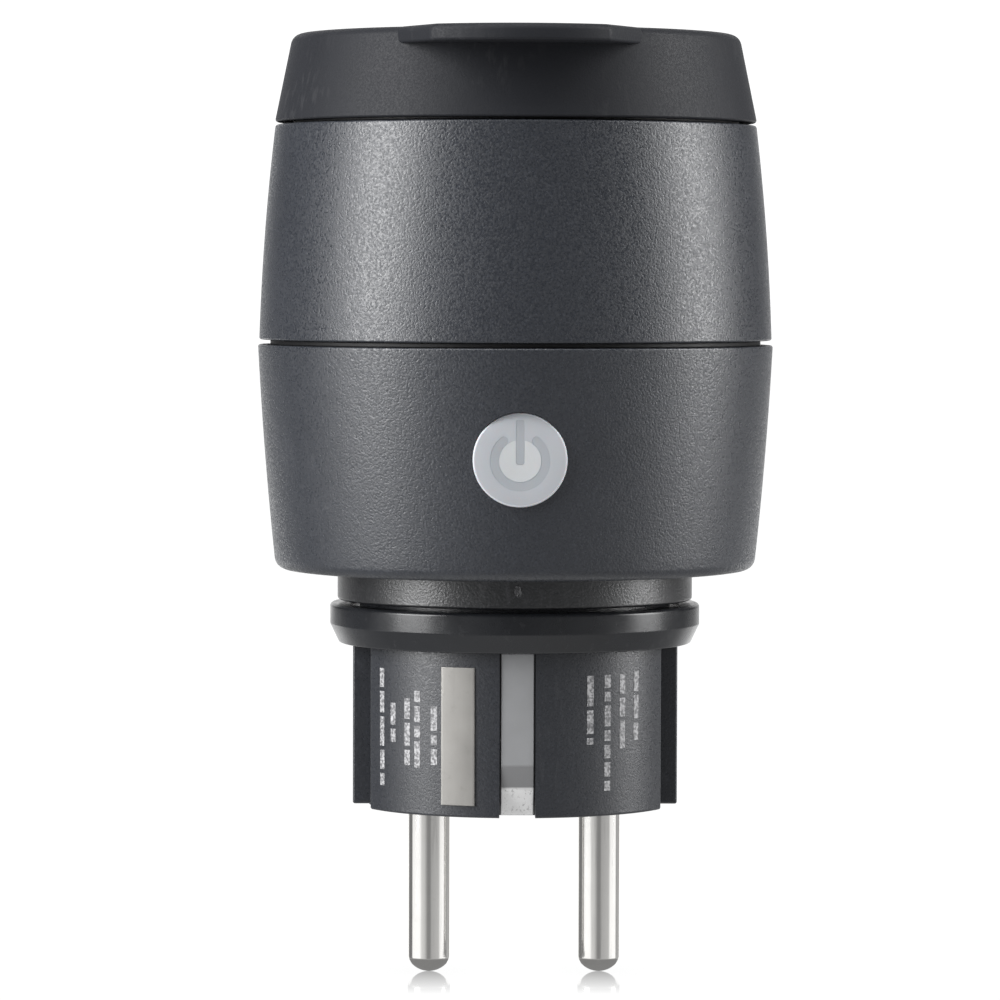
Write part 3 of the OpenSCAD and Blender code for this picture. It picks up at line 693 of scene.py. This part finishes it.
def lower_shell():
    profile = rounded([
        (NECK_R, FLOOR_TOP, 0.2),
        (NECK_R, BASE_Z, 0.35),
        (barrel_radius(BASE_Z, LOWER_BULGE), BASE_Z, 1.4),
        *barrel_wall(BASE_Z + 2.4, SEAM_Z - 0.7, LOWER_BULGE),
        (barrel_radius(SEAM_Z, LOWER_BULGE), SEAM_Z, 0.22),
        (26.3, SEAM_Z, 0.15),
        (25.9, 38),
        (24.9, FLOOR_TOP, 0.8),
    ])
    shell = revolve("lower_shell", profile, closed=True)
    hole = rod("hole", BUTTON_HOLE_R, (0, -32, BUTTON_Z), (0, -22, BUTTON_Z), segments=96)
    carve(shell, hole)
    post_top = 33
    for _, x, y in posts():
        carve(shell, rod("post", POST_R, (x, y, FLOOR_TOP - 0.5), (x, y, post_top), 0.2), "UNION")
        drill(shell, SCREW_HEAD_R + 0.15, x, y, BASE_Z - 1, SCREW_HEAD_TOP)
        drill(shell, SCREW_R + 0.2, x, y, BASE_Z, post_top + 2)
    smooth(shell)
    true_normals(shell, barrel_normal(LOWER_BULGE, BASE_Z + 1.9, SEAM_Z - 0.25))
    finish_piece(shell, "housing", "housing", "lower_housing")


def housing_knuckle(side):
    """One hinge knuckle with the web that carries it."""
    reach = HINGE_Y + KNUCKLE_R
    root_y = 24.5
    foot_z = HINGE_Z - 12
    web = [
        (HINGE_Y - KNUCKLE_R, RIM_Z - 0.3),
        (root_y, RIM_Z - 0.3),
        (root_y, foot_z),
        (HINGE_Y - 1.8, foot_z),
        (reach, HINGE_Z - 4, 2.5),
        (reach, HINGE_Z),
    ]
    top = arc_points(KNUCKLE_R, 0, 180, 20, (HINGE_Y, HINGE_Z))
    outline = top + rounded(web, 5, closed=False)[:-1]
    low, high = sorted(side * x for x in HOUSING_KNUCKLE_X)
    return prism("knuckle", outline, low, high, 0.25, 0.25, ACROSS_X)


def hinge_rod(name, radius, reach, segments=48):
    """A cylinder along the hinge axis, as long each way as its reach."""
    return rod(name, radius, (-reach, HINGE_Y, HINGE_Z), (reach, HINGE_Y, HINGE_Z), segments=segments)


def upper_shell():
    seat_r, seat_z = 25.35, 72.4
    shelf_r, shelf_z = 21.8, 70.5
    profile = rounded([
        (UPPER_BORE_R, UPPER_Z, 0.15),
        (barrel_radius(UPPER_Z, UPPER_BULGE), UPPER_Z, 0.22),
        *barrel_wall(UPPER_Z + 0.7, RIM_Z - 0.8, UPPER_BULGE),
        (barrel_radius(RIM_Z, UPPER_BULGE), RIM_Z, 0.3),
        (seat_r, RIM_Z, 0.2),
        (seat_r, seat_z),
        (shelf_r, seat_z),
        (shelf_r, shelf_z),
        (UPPER_BORE_R, shelf_z),
    ])
    shell = revolve("upper_shell", profile, closed=True)
    for side in (-1, 1):
        carve(shell, housing_knuckle(side), "UNION")
    carve(shell, hinge_rod("pocket", HINGE_POCKET_R, HOUSING_KNUCKLE_X[0], 64))
    carve(shell, hinge_rod("bore", 1.0, 20))
    # The socket insert's own posts pass through the shelf here
    for _, x, y in posts():
        drill(shell, 2.5, x, y, shelf_z - 1, seat_z + 1.1)
    smooth(shell)
    true_normals(shell, barrel_normal(UPPER_BULGE, UPPER_Z + 0.2, RIM_Z - 0.25))
    finish_piece(shell, "housing", "housing", "upper_housing")


def tab_outline():
    """Plan of the finger tab, anticlockwise."""
    tab_r = 17
    corner_x = 9.5
    root_x = 13.1
    centre_y = lid_low.y + tab_r
    corner_y = centre_y - math.sqrt(tab_r ** 2 - corner_x ** 2)
    swing = math.degrees(math.asin(corner_x / tab_r))
    front = arc_points(tab_r, 270 - swing, 270 + swing, 36, (0, centre_y))
    corners = [(-root_x, -20), (-root_x, -21.3), (-corner_x, corner_y, 0.9), *front[2:-2]]
    corners += [(corner_x, corner_y, 0.9), (root_x, -21.3), (root_x, -20)]
    return rounded(corners, 5)


def lid_knuckle(side):
    """One hinge knuckle with the arm that joins it to the lid."""
    root_y = 24
    low_z, high_z = HINGE_Z + 0.35, HINGE_Z + KNUCKLE_R
    outline = [(HINGE_Y, high_z), (root_y, high_z), (root_y, low_z), (HINGE_Y - 2.55, low_z)]
    outline += arc_points(KNUCKLE_R, 180, 450, 30, (HINGE_Y, HINGE_Z))[:-1]
    low, high = sorted(side * x for x in LID_KNUCKLE_X)
    return prism("knuckle", outline, low, high, 0.2, 0.2, ACROSS_X)


def lid_cap():
    wall = 1.5
    roof_z = LID_TOP - 2.16
    outer = rounded([
        (0, LID_Z),
        (LID_BOTTOM_R, LID_Z, 0.3),
        (LID_TOP_R, LID_TOP, 1.3),
        (0, LID_TOP),
    ], 8, closed=False)
    cap = revolve("lid_cap", outer)
    carve(cap, prism("tab", tab_outline(), LID_TOP - 1.86, LID_TOP - 0.02, 0.35, 0.7), "UNION")
    for side in (-1, 1):
        carve(cap, lid_knuckle(side), "UNION")
    cavity = rounded([
        (0, LID_Z - 10),
        (LID_BOTTOM_R - wall, LID_Z - 10),
        (LID_BOTTOM_R - wall, LID_Z),
        (LID_TOP_R - wall, roof_z, 0.9),
        (0, roof_z),
    ], 6, closed=False)
    carve(cap, revolve("cavity", cavity))
    rib_in, rib_out = 21.3, 22.5
    rib_low, rib_high = LID_Z + 0.4, roof_z + 0.06
    rib = [(rib_in, rib_low, 0.3), (rib_out, rib_low, 0.3), (rib_out, rib_high), (rib_in, rib_high)]
    carve(cap, revolve("rib", rounded(rib, 3), closed=True), "UNION")
    carve(cap, hinge_rod("bore", 1.06, 20))
    smooth(cap)
    true_normals(cap, cone_normal((LID_BOTTOM_R, LID_Z), (LID_TOP_R, LID_TOP)))
    finish_piece(cap, "lid", "lid", "lid")


def seam_band():
    inner_r = UPPER_BORE_R - 1.2
    lip = 1.6
    profile = rounded([
        (inner_r, SEAM_Z - lip, 0.2),
        (UPPER_BORE_R, SEAM_Z - lip, 0.2),
        (UPPER_BORE_R, SEAM_Z),
        (ring_high.x, SEAM_Z, 0.12),
        (ring_high.x, UPPER_Z, 0.12),
        (UPPER_BORE_R, UPPER_Z),
        (UPPER_BORE_R, UPPER_Z + lip, 0.2),
        (inner_r, UPPER_Z + lip, 0.2),
    ], 3)
    finish_piece(revolve("seam_band", profile, closed=True), "housing", "seal_rubber", "seam_ring")


# ---- Button


def symbol_outlines(grow):
    """Outlines of the power symbol's arc and bar, round the button's centre, each grown a little."""
    ring_in, ring_out = SYMBOL_RING
    middle_r = (ring_in + ring_out) / 2
    end_r = (ring_out - ring_in) / 2 + grow
    first, last = 90 + SYMBOL_GAP, 450 - SYMBOL_GAP

    def round_end(angle, start):
        centre = (middle_r * math.cos(math.radians(angle)), middle_r * math.sin(math.radians(angle)))
        return arc_points(end_r, start, start + 180, 10, centre)[1:-1]

    arc = arc_points(ring_out + grow, first, last, 72) + round_end(last, last)
    arc += arc_points(ring_in - grow, last, first, 72) + round_end(first, first + 180)
    side, low, high = BAR_HALF_W + grow, BAR_BOTTOM - grow, BAR_TOP + grow
    bar = rounded([(-side, low, 0.3), (side, low, 0.3), (side, high, 0.15), (-side, high, 0.15)], 4)
    return arc, bar


def on_button(name, outline, back, front):
    """A prism that stands out of the button's face, between two distances in front of the plug's axis."""
    return prism(name, outline, back, front, matrix=shift(z=SYMBOL_Z) @ OUT_FRONT)


def power_button():
    """The button's cap with recesses for the symbol, and two inlays of a darker and a paler silicone."""
    face, flange = -BUTTON_FRONT, -BUTTON_FLANGE_Y
    recess = face - 0.14
    profile = rounded([
        (0, face),
        (BUTTON_R, face, 0.16),
        (BUTTON_R, flange, 0.05),
        (BUTTON_FLANGE_R, flange, 0.1),
        (BUTTON_FLANGE_R, flange - 0.8, 0.1),
        (0, flange - 0.8),
    ], 5, closed=False)
    to_front = shift(z=BUTTON_Z) @ Matrix.Rotation(math.radians(90), 4, "X")
    cap = revolve("button_cap", profile, segments=128, matrix=to_front)
    for outline in symbol_outlines(0.005):
        carve(cap, on_button("recess", outline, recess, face + 1))
    lens_r = SYMBOL_RING[0] - 0.06
    carve(cap, on_button("button_lens", arc_points(lens_r, 0, 360, 96)[:-1], recess, face + 1))
    smooth(cap)
    finish_piece(cap, "button", "button_silicone", "power_button")

    arc, bar = symbol_outlines(0)
    inlay = on_button("button_symbol", arc, recess, face - 0.015)
    join(inlay, on_button("bar", bar, recess, face - 0.015))
    finish_piece(inlay, "button", "button_silicone", look=silicone("symbol_silicone", (0.36, 0.37, 0.395)))

    pale = on_button("button_lens", arc_points(lens_r - 0.005, 0, 360, 96)[:-1], recess, face - 0.005)
    side, low, high = BAR_HALF_W + 0.02, BAR_BOTTOM - 0.02, SYMBOL_RING[1]
    notch = rounded([(-side, low, 0.3), (side, low, 0.3), (side, high), (-side, high)], 4)
    carve(pale, on_button("notch", notch, face - 1, face + 1))
    finish_piece(pale, "button", "button_silicone", look=silicone("lens_silicone", (0.53, 0.53, 0.54)))


# ---- Neck and collar


def neck():
    tube_r = NECK_R - 0.02
    plate_z, plate_top = SPIGOT_TOP, SPIGOT_TOP + 2
    plate_bore_r = 13
    profile = rounded([
        (SPIGOT_R, neck_low.z, 0.1),
        (tube_r, neck_low.z, 0.3),
        (tube_r, plate_z),
        (neck_high.x, plate_z, 0.2),
        (neck_high.x, plate_top, 0.2),
        (plate_bore_r, plate_top, 0.2),
        (plate_bore_r, plate_z, 0.2),
        (SPIGOT_R, plate_z),
    ], 4)
    tube = revolve("neck_tube", profile, closed=True)
    pillars = []
    for x, y in ((19.5, 0), (0, 19.5), (-19.5, 0), (0, -19.5)):
        pillars.append(rod("post", 1.6, (x, y, plate_top - 0.1), (x, y, neck_high.z), 0.1, 24))
    join(tube, *pillars)
    finish_piece(tube, "housing", "neck_plastic", "neck")


def gate_mark():
    """The moulding gate's small rough scar at the front of the neck."""
    gate_z = 24.8
    front_y = -NECK_R
    scar = rod("gate_mark", 0.5, (0, front_y + 0.4, gate_z), (0, front_y - 0.07, gate_z), 0.12, 24)
    bm = bmesh.new()
    bm.from_mesh(scar.data)
    rng = random.Random(3)
    for vertex in bm.verts:
        vertex.co.x *= 0.8
        vertex.co.z = (vertex.co.z - gate_z * MM) * 1.3 + gate_z * MM
        if vertex.co.y < front_y * MM:
            vertex.co += Vector([rng.uniform(-0.07, 0.07) * MM for _ in range(3)])
    bm.to_mesh(scar.data)
    bm.free()
    finish_piece(scar, "housing", "neck_plastic", look=painted("gate_plastic", (0.09, 0.09, 0.095), 0.6))


def collar():
    low, high = collar_low.z, collar_high.z
    lip_z = high - 0.35
    profile = rounded([
        (SPIGOT_R, low),
        (19.6, low, 0.3),
        (COLLAR_R, 20.1, 0.35),
        (COLLAR_R, high, 0.4),
        (18.6, high, 0.2),
        (18.4, lip_z, 0.15),
        (SPIGOT_R, lip_z),
    ], 6)
    ring = revolve("collar_ring", profile, closed=True)
    finish_piece(ring, "housing", "collar_rubber", "sealing_collar")


# ---- Plug


def plug_outline(radius):
    """Plan of the plug body with its cheeks and groove floors, but without the rails, anticlockwise."""
    swing = math.degrees(math.asin(CHEEK_HALF_W / radius))
    corner_y = math.sqrt(radius ** 2 - CHEEK_HALF_W ** 2)
    under_rail = sum(RAIL_Y) / 2
    side = [
        (CHEEK_HALF_W, -corner_y, 0.45),
        (CHEEK_HALF_W, -under_rail),
        (GROOVE_FLOOR, -under_rail),
        (GROOVE_FLOOR, under_rail),
        (CHEEK_HALF_W, under_rail),
        (CHEEK_HALF_W, corner_y, 0.45),
    ]
    front = arc_points(radius, 270 - swing, 270 + swing, 72)[1:-1]
    back = arc_points(radius, 90 - swing, 90 + swing, 72)[1:-1]
    other = [(-x, -y, *r) for x, y, *r in side]
    return rounded([*front, *side, *back, *other], 4)


def earth_slot(turn):
    """The slot that an earth strip lies in."""
    outside, floor_y = -24, -STRIP_INNER
    top = PLUG_TOP + 0.01
    side = [
        (outside, -1),
        (floor_y + 3.2, -1),
        (floor_y + 0.3, 3.7, 1.0),
        (floor_y, 5.6, 1.0),
        (floor_y, top),
        (outside, top),
    ]
    return prism("slot", rounded(side, 4), -EARTH_SLOT_HALF_W, EARTH_SLOT_HALF_W, matrix=turn)


def plug_moulding():
    edge = 0.25
    bottom = plug_outline(CHEEK_R - CHEEK_DRAFT)
    levels = [(away, inset(bottom, amount)) for away, amount in edge_levels(edge)]
    body = loft("plug_moulding", [*levels, (PLUG_TOP, plug_outline(CHEEK_R))])
    spigot_z = PLUG_TOP - 0.05
    spigot = [(0, spigot_z), (SPIGOT_R, spigot_z), (SPIGOT_R, SPIGOT_TOP), (0, SPIGOT_TOP)]
    carve(body, revolve("spigot", spigot), "UNION")
    near, far = RAIL_Y
    inside = CHEEK_HALF_W - 1
    for x0, x1 in ((inside, RAIL_REACH), (-RAIL_REACH, -inside)):
        for y0, y1 in ((near, far), (-far, -near)):
            corners = [(x0, y0, edge), (x1, y0, edge), (x1, y1, edge), (x0, y1, edge)]
            carve(body, prism("rail", rounded(corners, 4), RAIL_BOTTOM, PLUG_TOP - 0.01, edge), "UNION")
    carve(body, earth_slot(ACROSS_X))
    carve(body, earth_slot(ACROSS_X_REAR))
    drill(body, EARTH_HOLE_R, 0, EARTH_HOLE_Y, -1, EARTH_HOLE_TOP, 64)
    above = SPIGOT_TOP + 5
    for side in (-1, 1):
        drill(body, PIN_SHANK_R, side * PIN_PITCH / 2, 0, -1, PIN_SHANK_TOP, 64)
        drill(body, PIN_TAIL_R, side * PIN_PITCH / 2, 0, PIN_SHANK_TOP - 1, above, 32)
        drill(body, PLUG_SCREW_R, 0, side * PLUG_SCREW_Y, 20.3, above, 32)
    finish_piece(body, "housing", "plug_plastic", "plug_body", degrees=28)


def pin(name, side, node):
    """A pin with a flat dome, a softly rounded shoulder and a thin tail inside the housing."""
    dome_z = pin_low.z + PIN_DOME_R
    drop = math.sqrt(PIN_DOME_R ** 2 - PIN_R ** 2)
    meet = math.degrees(math.asin(drop / PIN_DOME_R))
    shoulder = 16
    dome = arc_points(PIN_DOME_R, -90, -meet - shoulder, 12, (0, dome_z))
    corners = [
        (0, pin_low.z),
        *dome[1:],
        (PIN_R, dome_z - drop, 0.6),
        (PIN_R, 0),
        (PIN_SHANK_R, 0),
        (PIN_SHANK_R, PIN_SHANK_TOP),
        (PIN_TAIL_R, PIN_SHANK_TOP),
        (PIN_TAIL_R, pin_high.z),
        (0, pin_high.z),
    ]
    made = revolve(name, rounded(corners, 3, closed=False), segments=96, matrix=shift(side * PIN_PITCH / 2))
    finish_piece(made, "housing", "nickel", node, degrees=12)


def earth_strip(name, turn, node):
    """A bent nickel strip with softened edges, from the yoke down to its ramp."""
    outer, inner = -STRIP_REACH, -STRIP_INNER
    side = [
        (outer, strip_high.z, 0.15),
        (outer, 5.6, 0.9),
        (outer + 0.3, 3.1, 0.9),
        (outer + 1.8, 0.1, 0.2),
        (inner + 1.7, 0.6, 0.2),
        (inner + 0.3, 3.45, 0.8),
        (inner, 5.6, 0.8),
        (inner, yoke_low.z, 0.3),
        (-yoke_high.y, yoke_low.z),
        (-yoke_high.y, yoke_high.z),
        (inner, yoke_high.z, 0.3),
        (inner, strip_high.z, 0.15),
    ]
    made = prism(name, rounded(side, 5), -EARTH_HALF_W, EARTH_HALF_W, 0.12, 0.12, turn)
    finish_piece(made, "housing", "strip_nickel", node)


def curved_plate(name, first, last, low, high, inner_r, outer_r, edge=0.0, steps=24):
    """A plate bent round the plug axis, its outer rim softened; angles in degrees from +X."""
    bm = bmesh.new()
    soft = math.degrees(edge / outer_r)
    rings = []
    for radius, share in ((inner_r, 0), (outer_r - edge, 0), (outer_r - edge * 0.3, 0.3), (outer_r, 1)):
        a0, a1 = first + soft * share, last - soft * share
        z0, z1 = low + edge * share, high - edge * share
        bottom = arc_points(radius, a0, a1, steps)
        ring = [bm.verts.new((x, y, z0)) for x, y in bottom]
        ring += [bm.verts.new((x, y, z1)) for x, y in reversed(bottom)]
        rings.append(ring)
    skin(bm, rings)
    count = steps + 1
    for ring in (rings[0], rings[-1]):
        for i in range(steps):
            bm.faces.new([ring[i], ring[i + 1], ring[2 * count - 2 - i], ring[2 * count - 1 - i]])
    return build(name, bm)


def rating_plate():
    """The plain metal plate on the left of the front cheek, with softened edges."""
    first, last = 242.9, 255.2
    inner, outer = CHEEK_R - 0.2, CHEEK_R + 0.15
    plate = curved_plate("rating_plate", first, last, plate_low.z, plate_high.z, inner, outer, 0.1)
    finish_piece(plate, "housing", "nameplate", "nameplate", degrees=40)


def print_column(angle, top, bottom, rng):
    """One column of generic word-length bars down a cheek."""
    half_w = 1.25
    gap = 0.45
    marks = []
    z = top
    while z > bottom + 0.6:
        length = min(rng.uniform(1.0, 3.4), z - bottom)
        face_r = CHEEK_R - CHEEK_DRAFT + CHEEK_DRAFT * z / PLUG_TOP
        around = (angle - half_w, angle + half_w)
        marks.append(curved_plate("mark", *around, z - length, z, face_r - 0.1, face_r + 0.02, steps=4))
        z -= length + gap
    return marks


def printed_lines():
    """Pale print on both cheeks, as bars with no letters: (degrees from the front, top, bottom)."""
    columns = [
        (-54.5, 15.8, 2.9), (-48.4, 12.1, 6.8), (-41.5, 12.7, 5.4), (-37.0, 13.6, 5.2), (-30.1, 12.0, 5.6),
        (26.1, 15.4, 7.9), (33.1, 15.4, 2.4), (39.6, 15.4, 6.4), (46.3, 15.7, 8.1),
    ]
    rng = random.Random(11)
    marks = []
    for from_front, top, bottom in columns:
        marks += print_column(270 + from_front, top, bottom, rng)
    ink = Look("print_ink", (0.42, 0.42, 0.43), 0.55)
    ink.mottle(0.5, 0.15)
    ink.tint(ink.span(ink.noise(0.3, 4), 0.42, 0.60, 1, 0), (0.04, 0.04, 0.045), 0.75)
    made = join(marks[0], *marks[1:])
    made.name = "printed_bars"
    finish_piece(made, "housing", "plug_plastic", look=ink.done(), degrees=20)


def screw_heads():
    """The four recessed housing screws, with cross recesses in their heads."""
    made = []
    for angle, x, y in posts():
        corners = [
            (0, screw_low.z),
            (SCREW_HEAD_R, screw_low.z, 0.5),
            (SCREW_HEAD_R, SCREW_HEAD_TOP, 0.1),
            (SCREW_R, SCREW_HEAD_TOP),
            (SCREW_R, screw_high.z, 0.4),
            (0, screw_high.z),
        ]
        screw = revolve("screw", rounded(corners, 4, closed=False), segments=48, matrix=shift(x, y))
        for turn in (0, 90):
            slot = [(-1.3, -0.3), (1.3, -0.3), (1.3, 0.3), (-1.3, 0.3)]
            spin = Matrix.Rotation(math.radians(turn + 20 + angle), 4, "Z")
            carve(screw, prism("cut", slot, -1, 0.9, matrix=shift(x, y, screw_low.z) @ spin))
        made.append(screw)
    join(made[0], *made[1:])
    made[0].name = "case_screws"
    finish_piece(made[0], "housing", "steel", "housing_screws")


def lid_gasket():
    """The lid's sealing ring, with two soft ridges that meet the socket."""
    low, high = seal_low.z, seal_high.z
    inner, outer = 22.55, seal_high.x
    profile = rounded([
        (inner, low + 0.35, 0.1),
        (inner + 0.3, low, 0.2),
        (inner + 0.8, low, 0.2),
        (inner + 1.1, low + 0.35, 0.1),
        (outer - 1.1, low + 0.35, 0.1),
        (outer - 0.8, low, 0.2),
        (outer - 0.3, low, 0.2),
        (outer, low + 0.35, 0.1),
        (outer, high, 0.25),
        (inner, high, 0.25),
    ], 4)
    finish_piece(revolve("lid_gasket", profile, closed=True), "lid", "seal_rubber", "lid_seal")


def cad_looks():
    """Materials for the CAD nodes that stay, whose slots the record names."""
    for row in frame["record"]["subparts"]:
        node = frame["nodes"][row["node"]]
        if node.hide_render:
            continue
        node.data.materials.clear()
        node.data.materials.append(LOOKS[row["material_slot"]])


lower_shell()
upper_shell()
lid_cap()
seam_band()
power_button()
neck()
gate_mark()
collar()
plug_moulding()
pin("left_pin", -1, "line_pin")
pin("right_pin", 1, "neutral_pin")
earth_strip("front_earth_strip", ACROSS_X, "earth_strip_front")
earth_strip("rear_earth_strip", ACROSS_X_REAR, "earth_strip_rear")
rating_plate()
printed_lines()
screw_heads()
lid_gasket()
cad_looks()

# ---- Floor, light, camera


def stage_face(name, outline, z):
    """A flat face that lights and shades nothing, and the empty graph of its material."""
    bm = bmesh.new()
    bm.faces.new([bm.verts.new((x, y, z)) for x, y in outline])
    made = build(name, bm)
    made.visible_diffuse = made.visible_transmission = made.visible_shadow = False
    material = bpy.data.materials.new(name)
    material.use_nodes = True
    made.data.materials.append(material)
    graph = Graph(material.node_tree)
    graph.nodes.clear()
    return made, graph


def floor():
    """A white surface that mirrors only what stands close to the pins and hides nothing from below."""
    reach = 6000
    corners = [(-reach, -reach), (reach, -reach), (reach, reach), (-reach, reach)]
    made, graph = stage_face("floor", corners, pin_low.z - 0.02)
    made.visible_glossy = False
    place = graph.axes(graph.add("TexCoord").outputs["Object"])
    past = graph.math("SUBTRACT", graph.math("ABSOLUTE", place["X"]), PIN_PITCH / 2 * MM)
    from_pin = graph.add("CombineXYZ", past, place["Y"]).outputs[0]
    away = graph.add("VectorMath", from_pin, setting=("operation", "LENGTH")).outputs["Value"]
    mirror_r, mirror_share = 20, 0.72
    share = graph.span(away, 0, mirror_r * MM, mirror_share, 0)
    gloss = graph.add("BsdfGlossy", Roughness=0.05).outputs[0]
    glow = graph.add("Emission", Strength=1.05).outputs[0]
    clear = graph.add("BsdfTransparent").outputs[0]
    top = graph.add("MixShader", share, glow, gloss).outputs[0]
    below = graph.add("NewGeometry").outputs["Backfacing"]
    graph.add("OutputMaterial", graph.add("MixShader", below, top, clear).outputs[0])


def pin_shade(name, side):
    """The shaded spot under a pin, which only the pin's own shiny tip sees."""
    rim = arc_points(4.5, 0, 360, 48, (side * PIN_PITCH / 2, 0))[:-1]
    made, graph = stage_face(name, rim, pin_low.z - 0.1)
    made.visible_camera = False
    graph.add("OutputMaterial", graph.add("Emission", Strength=0.27).outputs[0])


def softbox(name, azimuth, elevation, distance, width, height, watts):
    """An area light aimed at the middle of the housings; azimuth 0 is in front, positive to the right."""
    target = Vector((0, 0, 55)) * MM
    a, e = math.radians(azimuth), math.radians(elevation)
    way = Vector((math.sin(a) * math.cos(e), -math.cos(a) * math.cos(e), math.sin(e)))
    data = bpy.data.lights.new(name, "AREA")
    data.shape = "RECTANGLE"
    data.size, data.size_y = width * MM, height * MM
    data.energy = watts
    lamp = bpy.data.objects.new(name, data)
    lamp.location = target + way * distance * MM
    lamp.rotation_euler = (-way).to_track_quat("-Z", "Y").to_euler()
    bpy.context.scene.collection.objects.link(lamp)


# Brightness of the room round the object, as (degrees to the right of the front, level)
ROOM = (
    (-180, 1.2), (-166, 1.2), (-150, 0.08), (-100, 0.08), (-60, 0.16),
    (60, 0.16), (100, 0.08), (150, 0.08), (166, 1.2), (180, 1.2),
)
# The same for the low cards just under the horizon, whose bands the pins mirror
LOW_CARDS = (
    (-180, 1.4), (-142, 1.4), (-136, 0.27), (-105, 0.22), (-98, 1.4), (-47, 1.4), (-41, 0.95),
    (-24, 0.78), (-8, 0.31), (6, 0.31), (12, 0.54), (54, 0.68), (62, 1.4), (100, 1.4),
    (106, 0.30), (114, 0.55), (128, 0.55), (136, 0.28), (142, 1.4), (180, 1.4),
)
# Brightness of the floor as the underside of the object sees it, at a slant and straight down
UNDERNEATH = (0.42, 1.0)
# Between which Z of the direction the cards, then the floor, then the floor's brighter middle take over
CARDS_START = (-0.065, -0.10)
FLOOR_START = (-0.25, -0.40)
MIDDLE_START = (-0.6, -0.95)


def surroundings():
    """A studio room: white behind the object, dim in front, with low white cards to the left and right."""
    world = bpy.data.worlds.new("studio")
    bpy.context.scene.world = world
    world.use_nodes = True
    graph = Graph(world.node_tree)

    def around(turn, levels):
        """A brightness that changes with the direction round the object."""
        ramp = graph.add("ValToRGB", turn)
        stops = ramp.color_ramp.elements
        for degrees, level in levels:
            at_end = {-180: 0, 180: -1}.get(degrees)
            stop = stops.new((degrees + 180) / 360) if at_end is None else stops[at_end]
            stop.color = (level / 2, level / 2, level / 2, 1)
        return ramp.outputs["Color"]

    way = graph.axes(graph.add("TexCoord").outputs["Generated"])
    angle = graph.math("ARCTAN2", way["X"], graph.math("MULTIPLY", way["Y"], -1))
    turn = graph.span(angle, -math.pi, math.pi, 0, 1)
    level = graph.mix(graph.span(way["Z"], *CARDS_START, 0, 1), around(turn, ROOM), around(turn, LOW_CARDS))
    beneath = graph.span(way["Z"], *MIDDLE_START, *(floor_level / 2 for floor_level in UNDERNEATH))
    level = graph.mix(graph.span(way["Z"], *FLOOR_START, 0, 1), level, beneath)
    level = graph.mix(graph.add("LightPath").outputs["Is Camera Ray"], level, (0.55, 0.55, 0.55, 1))
    graph.feed_named(graph.nodes["Background"], {"Color": level, "Strength": 2})


def camera():
    """Far in front of the object, a little to its left, and looking slightly down."""
    distance, height = 588.96, 60.14
    azimuth, yaw, pitch, roll = (math.radians(a) for a in (1.1089, 0.9464, 2.5606, 0.15))
    data = bpy.data.cameras.new("camera")
    data.lens = 190.13
    data.clip_start, data.clip_end = 0.01, 50
    made = bpy.data.objects.new("camera", data)
    made.location = Vector((-distance * math.sin(azimuth), -distance * math.cos(azimuth), height)) * MM
    ahead = Vector((math.sin(yaw) * math.cos(pitch), math.cos(yaw) * math.cos(pitch), -math.sin(pitch)))
    turn = ahead.to_track_quat("-Z", "Y").to_matrix() @ Matrix.Rotation(roll, 3, "Z")
    made.rotation_euler = turn.to_euler()
    bpy.context.scene.collection.objects.link(made)
    bpy.context.scene.camera = made


floor()
pin_shade("left_shade", -1)
pin_shade("right_shade", 1)
softbox("left_softbox", -66.5, 21, 600, 300, 600, 7.0)
softbox("right_softbox", 88, 21, 600, 260, 600, 4.9)
softbox("top_softbox", -10, 70, 600, 400, 400, 2.0)
surroundings()
camera()
bpy.context.scene.view_settings.view_transform = "Standard"
